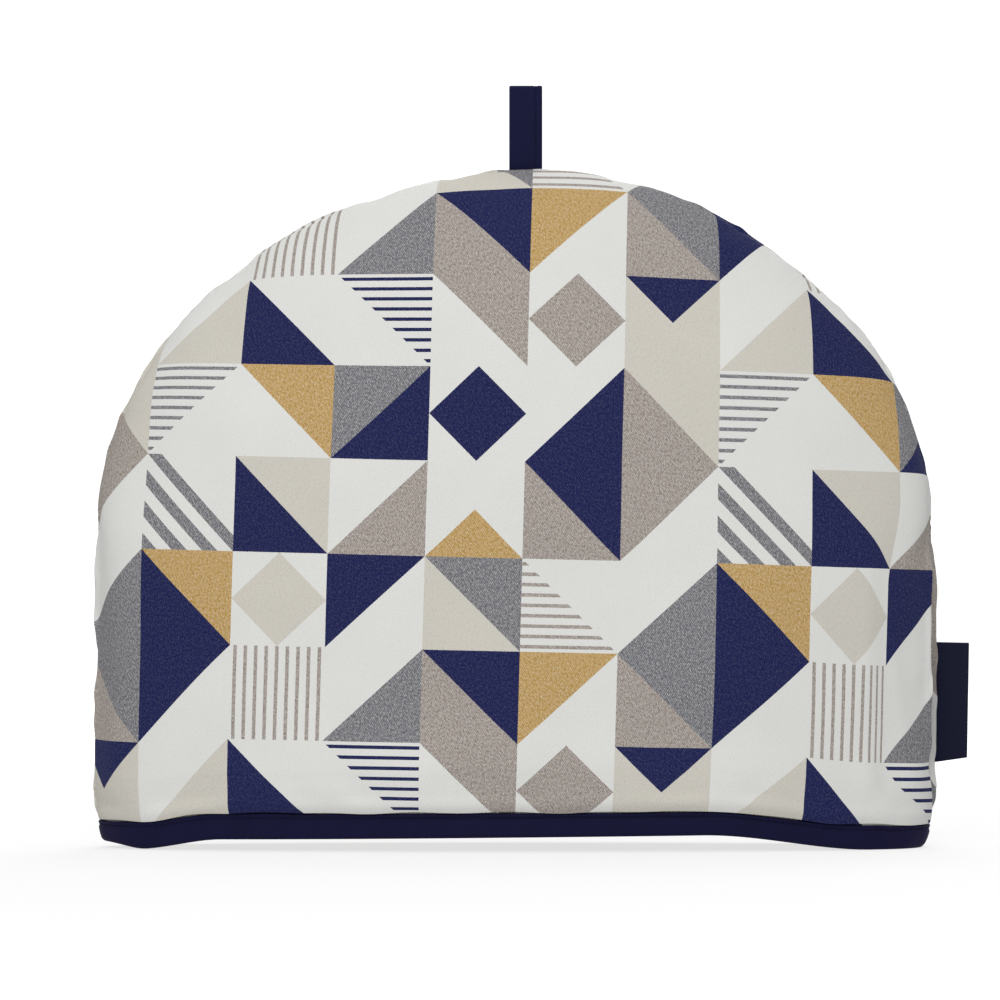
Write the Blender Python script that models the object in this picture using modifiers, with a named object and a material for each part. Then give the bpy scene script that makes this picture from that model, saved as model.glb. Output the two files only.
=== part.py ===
"""A padded tea cosy, standing open on its bound hem.

Two padded half-dome panels are sewn together along one seam that runs up one side, over the crown
and down the other. A bias binding is folded over their lower edges, a tape loop for hanging is
caught in the seam at the crown, and a small woven tab is caught in it at one side.

Metres throughout. X runs across the cosy, -Y is its front and Z is up. The origin is the middle of
the whole part's footprint. Sizes of the shell are taken from the middle of its own width, which
lies a little to one side of the origin because the tab stands out on the other.
"""

import math

import bmesh
import bpy
from mathutils import Matrix, Vector

GAP = 0.0003  # between any two pieces

# The seam's outline: straight sides up to the shoulder, and half an ellipse above it.
HALF_WIDTH = 0.1686
SHOULDER_Z = 0.1215
DOME_RISE = 0.1515
CROWN_LEAN = 0.0017  # how far the right of the dome stands above its ellipse, and the left below

# How full the panels are. The crown exponent flattens the middle of a panel, and the edge exponent
# rounds it over into the seam.
BELLY_DEPTH = 0.0530  # from the seam's plane to the outside of a panel, low down
CROWN_DEPTH = 0.0440  # the same by which the dome is drawn at its top
CROWN_EXPONENT = 2.3
EDGE_EXPONENT = 0.5
SEAM_DRAWN_IN = 0.0020  # the groove that the seam pulls into the rounded edges
SEAM_GROOVE_REACH = 0.0035

# The padded wall, at the middle of a panel and at its sewn edge.
WALL = 0.0090
SEAM_ALLOWANCE = 0.0070

# Inside the binding the wall is pressed thin and drawn in.
PRESSED_WALL = 0.0042
HEM_DRAWN_IN = 0.0050  # at the middle of a panel
HEM_DRAWN_IN_AT_SIDES = 0.0038
HEM_SWELL = 0.0160  # height over which the panel swells from pressed to full, above the binding

# The hem stands flat at the two sides and is arched between them, a little more to the right.
HEM_ARCH = 0.0054
HEM_ARCH_SLOPE = 0.010
ARCH_LEFT = (-0.142, -0.100)  # from standing to arched
ARCH_RIGHT = (0.070, 0.138)  # from arched to standing

# The binding: one strip folded over the hem, higher at the left than at the right.
BINDING_HEIGHT = 0.0102
BINDING_HEIGHT_SLANT = 0.0008
BINDING_CLOTH = 0.0012
BINDING_FOLD_RADIUS = 0.0012

# The hanging loop: a tape folded in half, with its two ends side by side in the seam.
LOOP_X = 0.0044
LOOP_WIDTH = 0.0132
LOOP_CLOTH = 0.0013
LOOP_PROUD = 0.0330
LOOP_TAIL = 0.0055
LOOP_HALF_OPENING = 0.0040
LOOP_STEPS = 32

# The side tab: a woven strip folded in half, its fold standing out from the back panel's rounded
# edge, just behind the right-hand seam. Its lower edge is cut askew, lower at the seam.
TAB_LOW_Z = 0.0360
TAB_HEIGHT = 0.0460
TAB_BEHIND_SEAM = 0.0055
TAB_CLOTH = 0.0010
TAB_PROUD = 0.0125
TAB_TAIL = 0.0050
TAB_ASKEW = 0.0020
TAB_LEAN = math.radians(1.0)
TAB_FOLD_STEPS = 6

# The right-hand seam rolls towards the front along its lower half, so that the back panel shows.
ROLL = math.radians(15)
ROLL_BEND = (0.138, 0.160)  # the shell bends between these distances from its middle
ROLL_FOOT = (0.012, 0.026)  # heights between which the roll comes in
ROLL_HEAD = (0.104, 0.140)  # heights between which it goes again

# Small tucks that the stitching draws into the seam: bearing from the crown, seen from the middle
# of the shoulder line and clockwise from the front, then depth and reach along the seam.
TUCKS = (
    # degrees, depth, reach
    (-105.0, 0.0010, 0.012),
    (-88.0, 0.0012, 0.010),
    (-45.0, 0.0014, 0.010),
    (-21.0, 0.0012, 0.009),
    (-9.0, 0.0010, 0.008),
    (16.5, 0.0012, 0.009),
    (89.0, 0.0014, 0.010),
    (118.0, 0.0012, 0.010),
)

COLUMNS = 36  # across one panel
SWELL_ROWS = 4  # from the top of the binding to where the panel is full
DOME_ROWS = 16  # above that
ROWS = 1 + SWELL_ROWS + DOME_ROWS

SHELL_X = -TAB_PROUD / 2  # the shell's middle, measured from the origin
PANEL_EDGE_Z = BINDING_CLOTH + GAP  # a panel's raw edge, above the binding's underside
BOUND_Z = BINDING_HEIGHT + BINDING_HEIGHT_SLANT + GAP  # the binding is no higher than this
SWOLLEN_Z = BOUND_Z + HEM_SWELL
TOP_Z = SHOULDER_Z + DOME_RISE
BINDING_DEPTH = BELLY_DEPTH - HEM_DRAWN_IN + GAP + BINDING_CLOTH
BINDING_HALF_WIDTH = HALF_WIDTH - HEM_DRAWN_IN_AT_SIDES + GAP + BINDING_CLOTH
BINDING_THICKNESS = 2 * (BINDING_CLOTH + GAP) + PRESSED_WALL

FRONT, BACK = -1, 1


def ease(value, start, end):
    """0 at start, 1 at end, and level at both."""
    share = min(max((value - start) / (end - start), 0.0), 1.0)
    return share * share * (3 - 2 * share)


def pressed(z):
    """How far the hem is pressed thin at a height: 1 inside the binding, 0 where the panel is full. The panel rounds
    out over the binding in a quarter ellipse."""
    left = 1 - min(max((z - BOUND_Z) / HEM_SWELL, 0.0), 1.0)
    return 1 - math.sqrt(1 - left * left)


def fullness(radius):
    """A panel's depth as a share, from 1 at its middle to 0 at the seam, where radius is 1."""
    return max(0.0, 1 - min(radius, 1.0) ** CROWN_EXPONENT) ** EDGE_EXPONENT


def edge_radius(share):
    """The radius at which a panel's depth is a share of its full depth: fullness turned round."""
    return (1 - share ** (1 / EDGE_EXPONENT)) ** (1 / CROWN_EXPONENT)


def arch(x, z):
    """How far the arch of the hem lifts a point. It dies out at the shoulder."""
    lift = (HEM_ARCH + HEM_ARCH_SLOPE * x) * ease(x, *ARCH_LEFT) * (1 - ease(x, *ARCH_RIGHT))
    return lift * max(0.0, 1 - z / SHOULDER_Z)


def seam_at(bearing):
    """The seam's outline at a bearing from the crown, as (x, z)."""
    across, up = math.sin(bearing), math.cos(bearing)
    if up > 0:
        reach = 1 / math.hypot(across / HALF_WIDTH, up / DOME_RISE)
    else:
        reach = HALF_WIDTH / abs(across)
    return across * reach, SHOULDER_Z + up * reach


def roll(x, y, z):
    """A point's (x, y) once the right-hand end of the shell is bent round towards the front."""
    start, end = ROLL_BEND
    slope = math.sin(ROLL) * ease(z, *ROLL_FOOT) * (1 - ease(z, *ROLL_HEAD))
    share = max(0.0, (x - start) / (end - start))
    bent = share**3 - share**4 / 2 if share < 1 else share - 0.5  # the area under the ease from start to x
    return x + slope * ease(x, start, end) * y, y - slope * (end - start) * bent


def settle(x, y, z):
    """Moves a point of the even shell to where the sewn one has it: arched, leaning, tucked and rolled."""
    for degrees, depth, reach in TUCKS:
        bearing = math.radians(degrees)
        seam_x, seam_z = seam_at(bearing)
        away = (Vector((x, y, z)) - Vector((seam_x, 0, seam_z))).length
        drawn = depth * math.exp(-((away / reach) ** 2))
        x -= drawn * math.sin(bearing)
        z -= drawn * math.cos(bearing)
    x, y = roll(x, y, z)
    lean = CROWN_LEAN * math.sin(math.pi * x / HALF_WIDTH) * max(0.0, (z - SHOULDER_Z) / DOME_RISE)
    return Vector((x + SHELL_X, y, z + arch(x, z) + lean))


def row_height(up, top):
    """The height of a row of a panel in a column that ends at top: the raw edge, then rows that are closest over the
    binding and under the seam."""
    row = round(up * ROWS)
    if row == 0:
        return PANEL_EDGE_Z
    if row <= 1 + SWELL_ROWS:
        return BOUND_Z + HEM_SWELL * (1 - math.cos(math.pi / 2 * (row - 1) / SWELL_ROWS))
    return SWOLLEN_Z + (top - SWOLLEN_Z) * math.sin(math.pi / 2 * (row - 1 - SWELL_ROWS) / DOME_ROWS)


def body_depth(z):
    """The outside of a full panel, from the seam's plane, before its edges are rounded over."""
    return BELLY_DEPTH + (CROWN_DEPTH - BELLY_DEPTH) * ease(z, SWOLLEN_Z, TOP_Z)


def panel_point(side, inside, across, up):
    """A point of a panel's outer or inner face. across runs from the left seam to the right and up from the hem to
    the seam, both 0 to 1."""
    angle = math.pi / 2 * (2 * across - 1)
    t = math.sin(angle)
    rise = DOME_RISE - (SEAM_ALLOWANCE if inside else 0)
    z = row_height(up, SHOULDER_Z + rise * math.cos(angle))
    press = pressed(z)
    half_width = HALF_WIDTH - HEM_DRAWN_IN_AT_SIDES * press
    depth = body_depth(z) - HEM_DRAWN_IN * press
    if inside:
        half_width -= SEAM_ALLOWANCE + (PRESSED_WALL - SEAM_ALLOWANCE) * press
        depth -= WALL + (PRESSED_WALL - WALL) * press
    on_seam = across in (0, 1) or up == 1
    radius = 1 if on_seam else math.hypot(t, max(0.0, z - SHOULDER_Z) / rise)
    y = side * (GAP / 2 + depth * fullness(radius))
    x = half_width * t
    if not inside:
        drawn = SEAM_DRAWN_IN * math.exp(-((y / SEAM_GROOVE_REACH) ** 2)) * (1 - press)
        outward = Vector((t / half_width, 0, max(0.0, z - SHOULDER_Z) / rise**2)).normalized()
        x -= drawn * outward.x
        z -= drawn * outward.z
    return settle(x, y, z)


def add_sheet(bm, columns, rows, place):
    """Adds a grid of quads to bm, each corner where place(across, up) puts it, and returns its vertices."""
    made = bmesh.ops.create_grid(bm, x_segments=columns, y_segments=rows, size=0.5)["verts"]
    for vert in made:
        across = round((vert.co.x + 0.5) * columns) / columns
        up = round((vert.co.y + 0.5) * rows) / rows
        vert.co = place(across, up)
    return made


def finish(bm, name, collection, material):
    """Turns bm into a named object, smooth but for its sharp edges."""
    bmesh.ops.recalc_face_normals(bm, faces=bm.faces)
    mesh = bpy.data.meshes.new(name)
    bm.to_mesh(mesh)
    bm.free()
    mesh.shade_smooth()
    mesh.set_sharp_from_angle(angle=math.radians(50))
    mesh.materials.append(material)
    obj = bpy.data.objects.new(name, mesh)
    collection.objects.link(obj)
    return obj


def cloth(name, colour, roughness):
    """A plain cloth material."""
    material = bpy.data.materials.new(name)
    material.use_nodes = True
    shader = material.node_tree.nodes["Principled BSDF"]
    shader.inputs["Base Color"].default_value = (*colour, 1)
    shader.inputs["Roughness"].default_value = roughness
    shader.inputs["Metallic"].default_value = 0
    return material


def make_panel(name, side, collection, material):
    """One padded panel: its outer and inner faces, joined all round by the sewn edge and the raw hem."""
    bm = bmesh.new()
    for inside in (False, True):
        add_sheet(
            bm,
            COLUMNS,
            ROWS,
            lambda across, up, inside=inside: panel_point(side, inside, across, up),
        )
    bmesh.ops.bridge_loops(bm, edges=[edge for edge in bm.edges if edge.is_boundary])
    return finish(bm, name, collection, material)


def binding_section():
    """The binding's section as (distance in from its outer face, height as a share of the leg, height above it):
    up the outer leg, over the fold and up the inner one, then back down inside."""
    thick, leg, round_off = BINDING_THICKNESS, BINDING_CLOTH, BINDING_FOLD_RADIUS
    inside = [(leg, 1, 0), (leg, 0, leg), (thick - leg, 0, leg), (thick - leg, 1, 0)]
    outside = [(thick, 1, 0), (thick, 0, round_off)]
    outside += [(thick - 0.3 * round_off, 0, 0.3 * round_off), (thick - round_off, 0, 0)]
    outside += [(round_off, 0, 0), (0.3 * round_off, 0, 0.3 * round_off)]
    outside += [(0, 0, round_off), (0, 1, 0)]
    return inside + outside


def make_binding(collection, material):
    """The bias binding: its section carried once round the mouth."""
    section = binding_section()
    bm = bmesh.new()

    def place(around, along):
        inward, leg_share, above = section[round(along * len(section)) % len(section)]
        half_turn = around % 1 * 2
        side = FRONT if half_turn < 1 else BACK
        angle = math.pi / 2 * (2 * (half_turn % 1) - 1) * -side
        t = math.sin(angle)
        x = (BINDING_HALF_WIDTH - inward) * t
        y = side * (BINDING_DEPTH - inward) * fullness(abs(t))
        leg_height = BINDING_HEIGHT - BINDING_HEIGHT_SLANT * t
        return settle(x, y, leg_share * leg_height + above)

    add_sheet(bm, 2 * COLUMNS, len(section), place)
    bmesh.ops.remove_doubles(bm, verts=bm.verts, dist=1e-6)
    return finish(bm, "hem_binding", collection, material)


def loop_path():
    """The hanging loop's centre line as (y, z) above the crown of the seam: up the front limb, over the fold and
    down the back one. The limbs lie together in the seam and part above it."""
    closed_half = (LOOP_CLOTH + GAP) / 2
    bow_half = LOOP_HALF_OPENING + LOOP_CLOTH / 2
    fold_z = LOOP_PROUD - LOOP_CLOTH / 2
    path = [(-closed_half, -LOOP_TAIL), (-closed_half, -LOOP_TAIL / 2)]
    for step in range(LOOP_STEPS + 1):
        turn = 2 * math.pi * step / LOOP_STEPS
        up = (1 - math.cos(turn)) / 2
        bow = math.sin(turn) * (0.35 + 0.65 * up)
        spread = closed_half * (1 - up) * (1 if step <= LOOP_STEPS / 2 else -1)
        path.append((-spread - bow_half * bow, fold_z * up))
    return path + [(closed_half, -LOOP_TAIL / 2), (closed_half, -LOOP_TAIL)]


def tab_path():
    """The side tab's centre line as (x, y) out from the panel: out along the front layer, round the fold and back."""
    half = (TAB_CLOTH + GAP) / 2
    fold_x = TAB_PROUD - TAB_CLOTH / 2 - half
    path = [(-TAB_TAIL, -half), (0, -half)]
    for step in range(TAB_FOLD_STEPS + 1):
        turn = math.pi * step / TAB_FOLD_STEPS
        path.append((fold_x + half * math.sin(turn), -half * math.cos(turn)))
    return path + [(0, half), (-TAB_TAIL, half)]


def make_tape(name, path, width, thickness, to_place, collection, material, askew=0.0):
    """A strip of tape along a path of its own, with the path across local X and Y and the width along local Z. askew
    is how much lower its lower edge is where X is 0 than at the far end of the path's reach."""
    bm = bmesh.new()
    last = len(path) - 1
    reach = max(x for x, _ in path)

    def place(along, up):
        x, y = path[round(along * last)]
        return Vector((x, y, (up - 0.5) * width - (1 - up) * askew * min(1.0, 1 - x / reach)))

    add_sheet(bm, last, 1, place)
    tape = finish(bm, name, collection, material)
    tape.matrix_world = to_place
    thicken = tape.modifiers.new("Thickness", "SOLIDIFY")
    thicken.thickness = thickness
    thicken.offset = 0
    thicken.use_even_offset = True
    return tape


def make_slot(name, size, to_place, cutters, panels):
    """Cuts a slot for a tape's tail into the panels' rounded edges."""
    bm = bmesh.new()
    bmesh.ops.create_cube(bm, size=1, matrix=Matrix.Diagonal((*size, 1)))
    mesh = bpy.data.meshes.new(name)
    bm.to_mesh(mesh)
    bm.free()
    cutter = bpy.data.objects.new(name, mesh)
    cutters.objects.link(cutter)
    cutter.matrix_world = to_place
    cutter.hide_render = True
    cutter.display_type = "WIRE"
    for panel in panels:
        cut = panel.modifiers.new(name, "BOOLEAN")
        cut.operation = "DIFFERENCE"
        cut.solver = "EXACT"
        cut.object = cutter


def crown_place():
    """Where the loop leaves the seam: local X is its Y, local Y its height and local Z its width."""
    t = LOOP_X / HALF_WIDTH
    seat_z = SHOULDER_Z + DOME_RISE * math.sqrt(1 - t * t) - SEAM_DRAWN_IN
    seat = settle(LOOP_X, 0, seat_z)
    axes = Matrix(((0, 0, 1), (1, 0, 0), (0, 1, 0))).to_4x4()
    return Matrix.Translation(seat) @ axes


def tab_place():
    """Where the tab leaves the back panel's rolled edge: local X points out of it and local Z up."""
    middle_z = TAB_LOW_Z + TAB_HEIGHT / 2
    edge = HALF_WIDTH * edge_radius(TAB_BEHIND_SEAM / body_depth(middle_z))
    seat = settle(edge, TAB_BEHIND_SEAM, middle_z)
    return Matrix.Translation(seat) @ Matrix.Rotation(-ROLL, 4, "Z") @ Matrix.Rotation(TAB_LEAN, 4, "Y")


def main():
    for obj in list(bpy.data.objects):
        bpy.data.objects.remove(obj)
    cosy = bpy.data.collections.new("tea_cosy")
    cutters = bpy.data.collections.new("cutters")
    for collection in (cosy, cutters):
        bpy.context.scene.collection.children.link(collection)

    print_cloth = cloth("printed_twill", (0.60, 0.57, 0.52), 0.9)
    binding_cloth = cloth("navy_bias", (0.012, 0.012, 0.045), 0.85)
    tape_cloth = cloth("navy_tape", (0.013, 0.013, 0.045), 0.8)
    tab_cloth = cloth("navy_satin", (0.008, 0.009, 0.030), 0.6)

    front = make_panel("front_panel", FRONT, cosy, print_cloth)
    back = make_panel("back_panel", BACK, cosy, print_cloth)
    make_binding(cosy, binding_cloth)

    crown = crown_place()
    make_tape("hanging_loop", loop_path(), LOOP_WIDTH, LOOP_CLOTH, crown, cosy, tape_cloth)
    loop_slot = (2 * LOOP_CLOTH + 3 * GAP, 2 * (LOOP_TAIL + GAP), LOOP_WIDTH + 2 * GAP)
    make_slot("loop_slot", loop_slot, crown, cutters, [front, back])

    side = tab_place()
    make_tape("side_label", tab_path(), TAB_HEIGHT, TAB_CLOTH, side, cosy, tab_cloth, TAB_ASKEW)
    tab_slot = (2 * (TAB_TAIL + GAP), 2 * TAB_CLOTH + 3 * GAP, TAB_HEIGHT + 2 * (GAP + TAB_ASKEW))
    make_slot("tab_slot", tab_slot, side, cutters, [back])


main()
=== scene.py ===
"""The looks of a padded tea cosy that stands open on its bound hem.

Two padded panels of printed twill are sewn together along one seam, a bias strip binds their lower
edges, a tape loop is caught in the seam at the crown and a bare woven tab stands out at one side.
Metres throughout: X runs across the cosy, -Y is its front and Z is up.
"""

import logging
import math
import random
from collections.abc import Callable
from dataclasses import dataclass
from enum import Enum

import bmesh
import bpy
import numpy as np
from mathutils import Matrix, Vector


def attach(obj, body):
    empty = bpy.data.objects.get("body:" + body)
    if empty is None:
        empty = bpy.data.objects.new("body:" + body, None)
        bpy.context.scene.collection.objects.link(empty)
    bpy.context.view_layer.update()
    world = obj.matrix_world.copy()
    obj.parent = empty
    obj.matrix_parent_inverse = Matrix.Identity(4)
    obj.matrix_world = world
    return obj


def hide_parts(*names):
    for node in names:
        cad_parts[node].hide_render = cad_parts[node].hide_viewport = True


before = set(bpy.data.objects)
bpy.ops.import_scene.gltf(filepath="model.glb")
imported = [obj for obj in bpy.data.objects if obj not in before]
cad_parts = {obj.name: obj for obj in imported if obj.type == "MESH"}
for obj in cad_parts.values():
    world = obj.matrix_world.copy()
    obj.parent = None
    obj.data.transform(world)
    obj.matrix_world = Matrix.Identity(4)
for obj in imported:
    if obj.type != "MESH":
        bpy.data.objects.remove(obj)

MM = 0.001
GAP = 0.3 * MM  # between any two pieces
TURN = 2 * math.pi
BODY = "root"
CLOTH_UV = "cloth"
LINING_MARK = "lining"
SHARP = math.radians(60)  # an edge that turns further than this isn't smoothed over

log = logging.getLogger("tea_cosy")
Array = np.ndarray
Object = bpy.types.Object
Material = bpy.types.Material
Socket = bpy.types.NodeSocket
Colour = tuple[float, float, float]
Screen = tuple[int, int, int]  # an 8-bit screen colour
Span = tuple[float, float]  # where a smooth step starts and ends, or the limits of a random draw
Quad = tuple[int, int, int, int]


class Side(Enum):
    """Which panel a thing belongs to, as the sign of its Y."""

    FRONT = -1
    BACK = 1


class Ink(Enum):
    """The colours of the print, by their place in the palette."""

    WHITE = 0
    CREAM = 1
    TAUPE = 2
    GREY = 3
    OCHRE = 4
    NAVY = 5


class Motif(Enum):
    """The shapes that fill one square of the print."""

    PLAIN = 0
    HALF = 1
    HOURGLASS = 2
    DIAMOND = 3
    STRIPED_HALF = 4
    GOOSE = 5
    CHEVRON = 6
    STRIPED = 7


def linear(red: int, green: int, blue: int) -> Colour:
    """Turns an 8-bit screen colour into the linear one that a shader takes.

    Args:
        red: Red, 0 to 255.
        green: Green, 0 to 255.
        blue: Blue, 0 to 255.

    Returns:
        The linear colour.
    """

    def channel(value: float) -> float:
        """Undoes the screen's curve for one channel."""
        return value / 12.92 if value <= 0.04045 else ((value + 0.055) / 1.055) ** 2.4

    return tuple(channel(value / 255) for value in (red, green, blue))


def ease(value: Array, start: float, end: float) -> Array:
    """A smooth step, from 0 where the value is at start to 1 where it is at end."""
    share = np.clip((value - start) / (end - start), 0, 1)
    return share * share * (3 - 2 * share)


# -------------------- shaders


def adds(operation: str, turned: bool = False) -> Callable[..., "Sig"]:
    """Makes a method of Sig that adds a Math node.

    Args:
        operation: The node's operation.
        turned: Whether the method's own number is the node's second input.

    Returns:
        The method, which takes the node's other inputs and returns its result.
    """

    def method(self: "Sig", *others: "Sig | float") -> "Sig":
        """Adds the node and returns its result."""
        values = (*others, self) if turned else (self, *others)
        return self.shade.sig("ShaderNodeMath", {"operation": operation}, dict(enumerate(values)))

    return method


class Sig:
    """A number on a shader socket, for which Python's operators add Math nodes."""

    __add__ = __radd__ = adds("ADD")
    __mul__ = __rmul__ = adds("MULTIPLY")
    __sub__ = adds("SUBTRACT")
    __rsub__ = adds("SUBTRACT", turned=True)
    __truediv__ = adds("DIVIDE")
    __lt__ = adds("LESS_THAN")
    __gt__ = adds("GREATER_THAN")
    compare = adds("COMPARE")
    fract = adds("FRACT")
    floor = adds("FLOOR")
    abs = adds("ABSOLUTE")
    sin = adds("SINE")
    cos = adds("COSINE")

    def __init__(self, shade: "Shade", socket: Socket) -> None:
        """Wraps an output socket of a shade's tree."""
        self.shade = shade
        self.socket = socket

    def is_near(self, value: float) -> "Sig":
        """1 where this is within a half of a whole number, else 0."""
        return self.compare(value, 0.5)

    def wave(self, length: float = 1.0) -> "Sig":
        """A sine wave between 0 and 1 that repeats over a length."""
        return ((self * (TURN / length)).sin() + 1.0) * 0.5

    def smooth(self, start: float, end: float) -> "Sig":
        """A smooth step from 0 at start to 1 at end."""
        span = {"Value": self, "From Min": start, "From Max": end, "To Min": 0.0, "To Max": 1.0}
        return self.shade.sig("ShaderNodeMapRange", {"interpolation_type": "SMOOTHSTEP"}, span)


class Shade:
    """A material's node tree, and short ways to add nodes to it."""

    def __init__(self, name: str) -> None:
        """Makes a material that holds a Principled shader alone.

        Args:
            name: The material's name.
        """
        self.material = bpy.data.materials.new(name)
        self.material.use_nodes = True
        self.tree = self.material.node_tree
        self.shader = self.tree.nodes["Principled BSDF"]

    def node(
        self,
        kind: str,
        settings: dict[str, object] | None = None,
        inputs: dict[int | str, object] | None = None,
    ) -> bpy.types.Node:
        """Adds a node.

        Args:
            kind: The node's type.
            settings: Its settings, which are set before its inputs.
            inputs: Values or links for its sockets, by name or place.

        Returns:
            The node.
        """
        made = self.tree.nodes.new(kind)
        for key, value in (settings or {}).items():
            setattr(made, key, value)
        for key, value in (inputs or {}).items():
            self.put(made.inputs[key], value)
        return made

    def sig(self, kind: str, settings: dict[str, object] | None, inputs: dict[int | str, object]) -> Sig:
        """Adds a node whose first output is a number, and returns that number."""
        return Sig(self, self.node(kind, settings, inputs).outputs[0])

    def put(self, socket: Socket, value: object) -> None:
        """Links a socket, or sets its value.

        Args:
            socket: An input socket.
            value: A Sig, an output socket, or a plain value.
        """
        if isinstance(value, Sig):
            value = value.socket
        if isinstance(value, Socket):
            self.tree.links.new(value, socket)
        elif socket.type == "RGBA" and len(value) == 3:
            socket.default_value = (*value, 1)
        else:
            socket.default_value = value

    def surface(self, values: dict[str, object]) -> None:
        """Sets or links sockets of the Principled shader by their names."""
        for name, value in values.items():
            self.put(self.shader.inputs[name], value)

    def ramp(self, value: Sig, stops: list[tuple[float, tuple[float, ...]]]) -> bpy.types.Node:
        """Adds a ColorRamp that jumps from stop to stop.

        Args:
            value: Its factor.
            stops: Place and colour with alpha, in order.

        Returns:
            The node.
        """
        made = self.node("ShaderNodeValToRGB", None, {0: value})
        ramp = made.color_ramp
        ramp.interpolation = "CONSTANT"
        for index, (place, colour) in enumerate(stops):
            stop = ramp.elements[index] if index < 2 else ramp.elements.new(place)
            stop.position = place
            stop.color = colour
        return made

    def mix(self, share: Sig | float, first: object, second: object) -> Socket:
        """Mixes two colours, or sockets that hold one. The share is how much of the second shows."""
        return self.node("ShaderNodeMix", {"data_type": "RGBA"}, {0: share, 6: first, 7: second}).outputs[2]

    def shaded(self, colour: object, amount: Sig) -> Socket:
        """Multiplies a colour, or a socket that holds one, by an amount."""
        made = self.node("ShaderNodeVectorMath", {"operation": "SCALE"}, {0: colour, "Scale": amount})
        return made.outputs[0]

    def cloth_mm(self) -> tuple[Sig, Sig]:
        """Finds the place on the flat cloth.

        Returns:
            Millimetres along its threads, and across them.
        """
        flat = self.node("ShaderNodeUVMap", {"uv_map": CLOTH_UV}).outputs[0]
        parts = self.node("ShaderNodeSeparateXYZ", None, {0: flat})
        return Sig(self, parts.outputs[0]) * 1000.0, Sig(self, parts.outputs[1]) * 1000.0

    def noise(self, along: Sig, across: Sig, detail: float = 2.0) -> Sig:
        """Noise over two coordinates.

        Args:
            along: The first coordinate, in cells of the noise.
            across: The second.
            detail: How many finer layers it has.

        Returns:
            The noise, 0 to 1 and about a half in the middle.
        """
        place = self.node("ShaderNodeCombineXYZ", None, {0: along, 1: across}).outputs[0]
        inputs = {"Vector": place, "Scale": 1.0, "Detail": detail}
        return self.sig("ShaderNodeTexNoise", {"noise_dimensions": "2D"}, inputs)


def weighed(parts: tuple[float, ...], *signals: Sig) -> Sig:
    """Adds signals up, each by its own weight.

    Args:
        parts: The weights.
        *signals: As many signals.

    Returns:
        The sum.
    """
    total = signals[0] * parts[0]
    for part, signal in zip(parts[1:], signals[1:]):
        total = total + signal * part
    return total


@dataclass(frozen=True)
class Feel:
    """How a cloth takes the light: its roughness, gloss and sheen, and the depth of its weave."""

    roughness: float
    spread: float  # how far the threads vary the roughness
    gloss: float
    depth: float
    strength: float  # how strongly the depth shows
    heights: tuple[float, float]  # what each of the weave's two signals adds to its height
    sheen: float = 0.0
    sheen_roughness: float = 0.5

    def lay(self, shade: Shade, colour: Socket, threads: Sig, weave: tuple[Sig, Sig]) -> None:
        """Sets up a cloth's shader.

        Args:
            shade: The material's tree.
            colour: Its finished colour.
            threads: The signal that varies its roughness.
            weave: The two signals that make its height.
        """
        shade.surface({
            "Base Color": colour,
            "Roughness": self.roughness + (threads - 0.5) * self.spread,
            "Sheen Weight": self.sheen,
            "Sheen Roughness": self.sheen_roughness,
            "Specular IOR Level": self.gloss,
        })
        height = weighed(self.heights, *weave)
        relief = {"Strength": self.strength, "Distance": self.depth, "Height": height}
        shade.surface({"Normal": shade.node("ShaderNodeBump", None, relief).outputs[0]})


@dataclass(frozen=True)
class Square:
    """One square of the print: its shape, quarter turns, and the colours of the shape and the ground."""

    motif: Motif
    turns: int
    figure: Ink
    ground: Ink


def chart_row(text: str) -> list[Square]:
    """Reads one row of the print's chart.

    Args:
        text: Squares parted by spaces, each four letters: motif, quarter turns, figure and ground.

    Returns:
        The squares.
    """
    motifs = dict(zip("phgdsekl", Motif))
    inks = dict(zip("wctgon", Ink))
    return [Square(motifs[s[0]], int(s[1]), inks[s[2]], inks[s[3]]) for s in text.split()]


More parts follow.
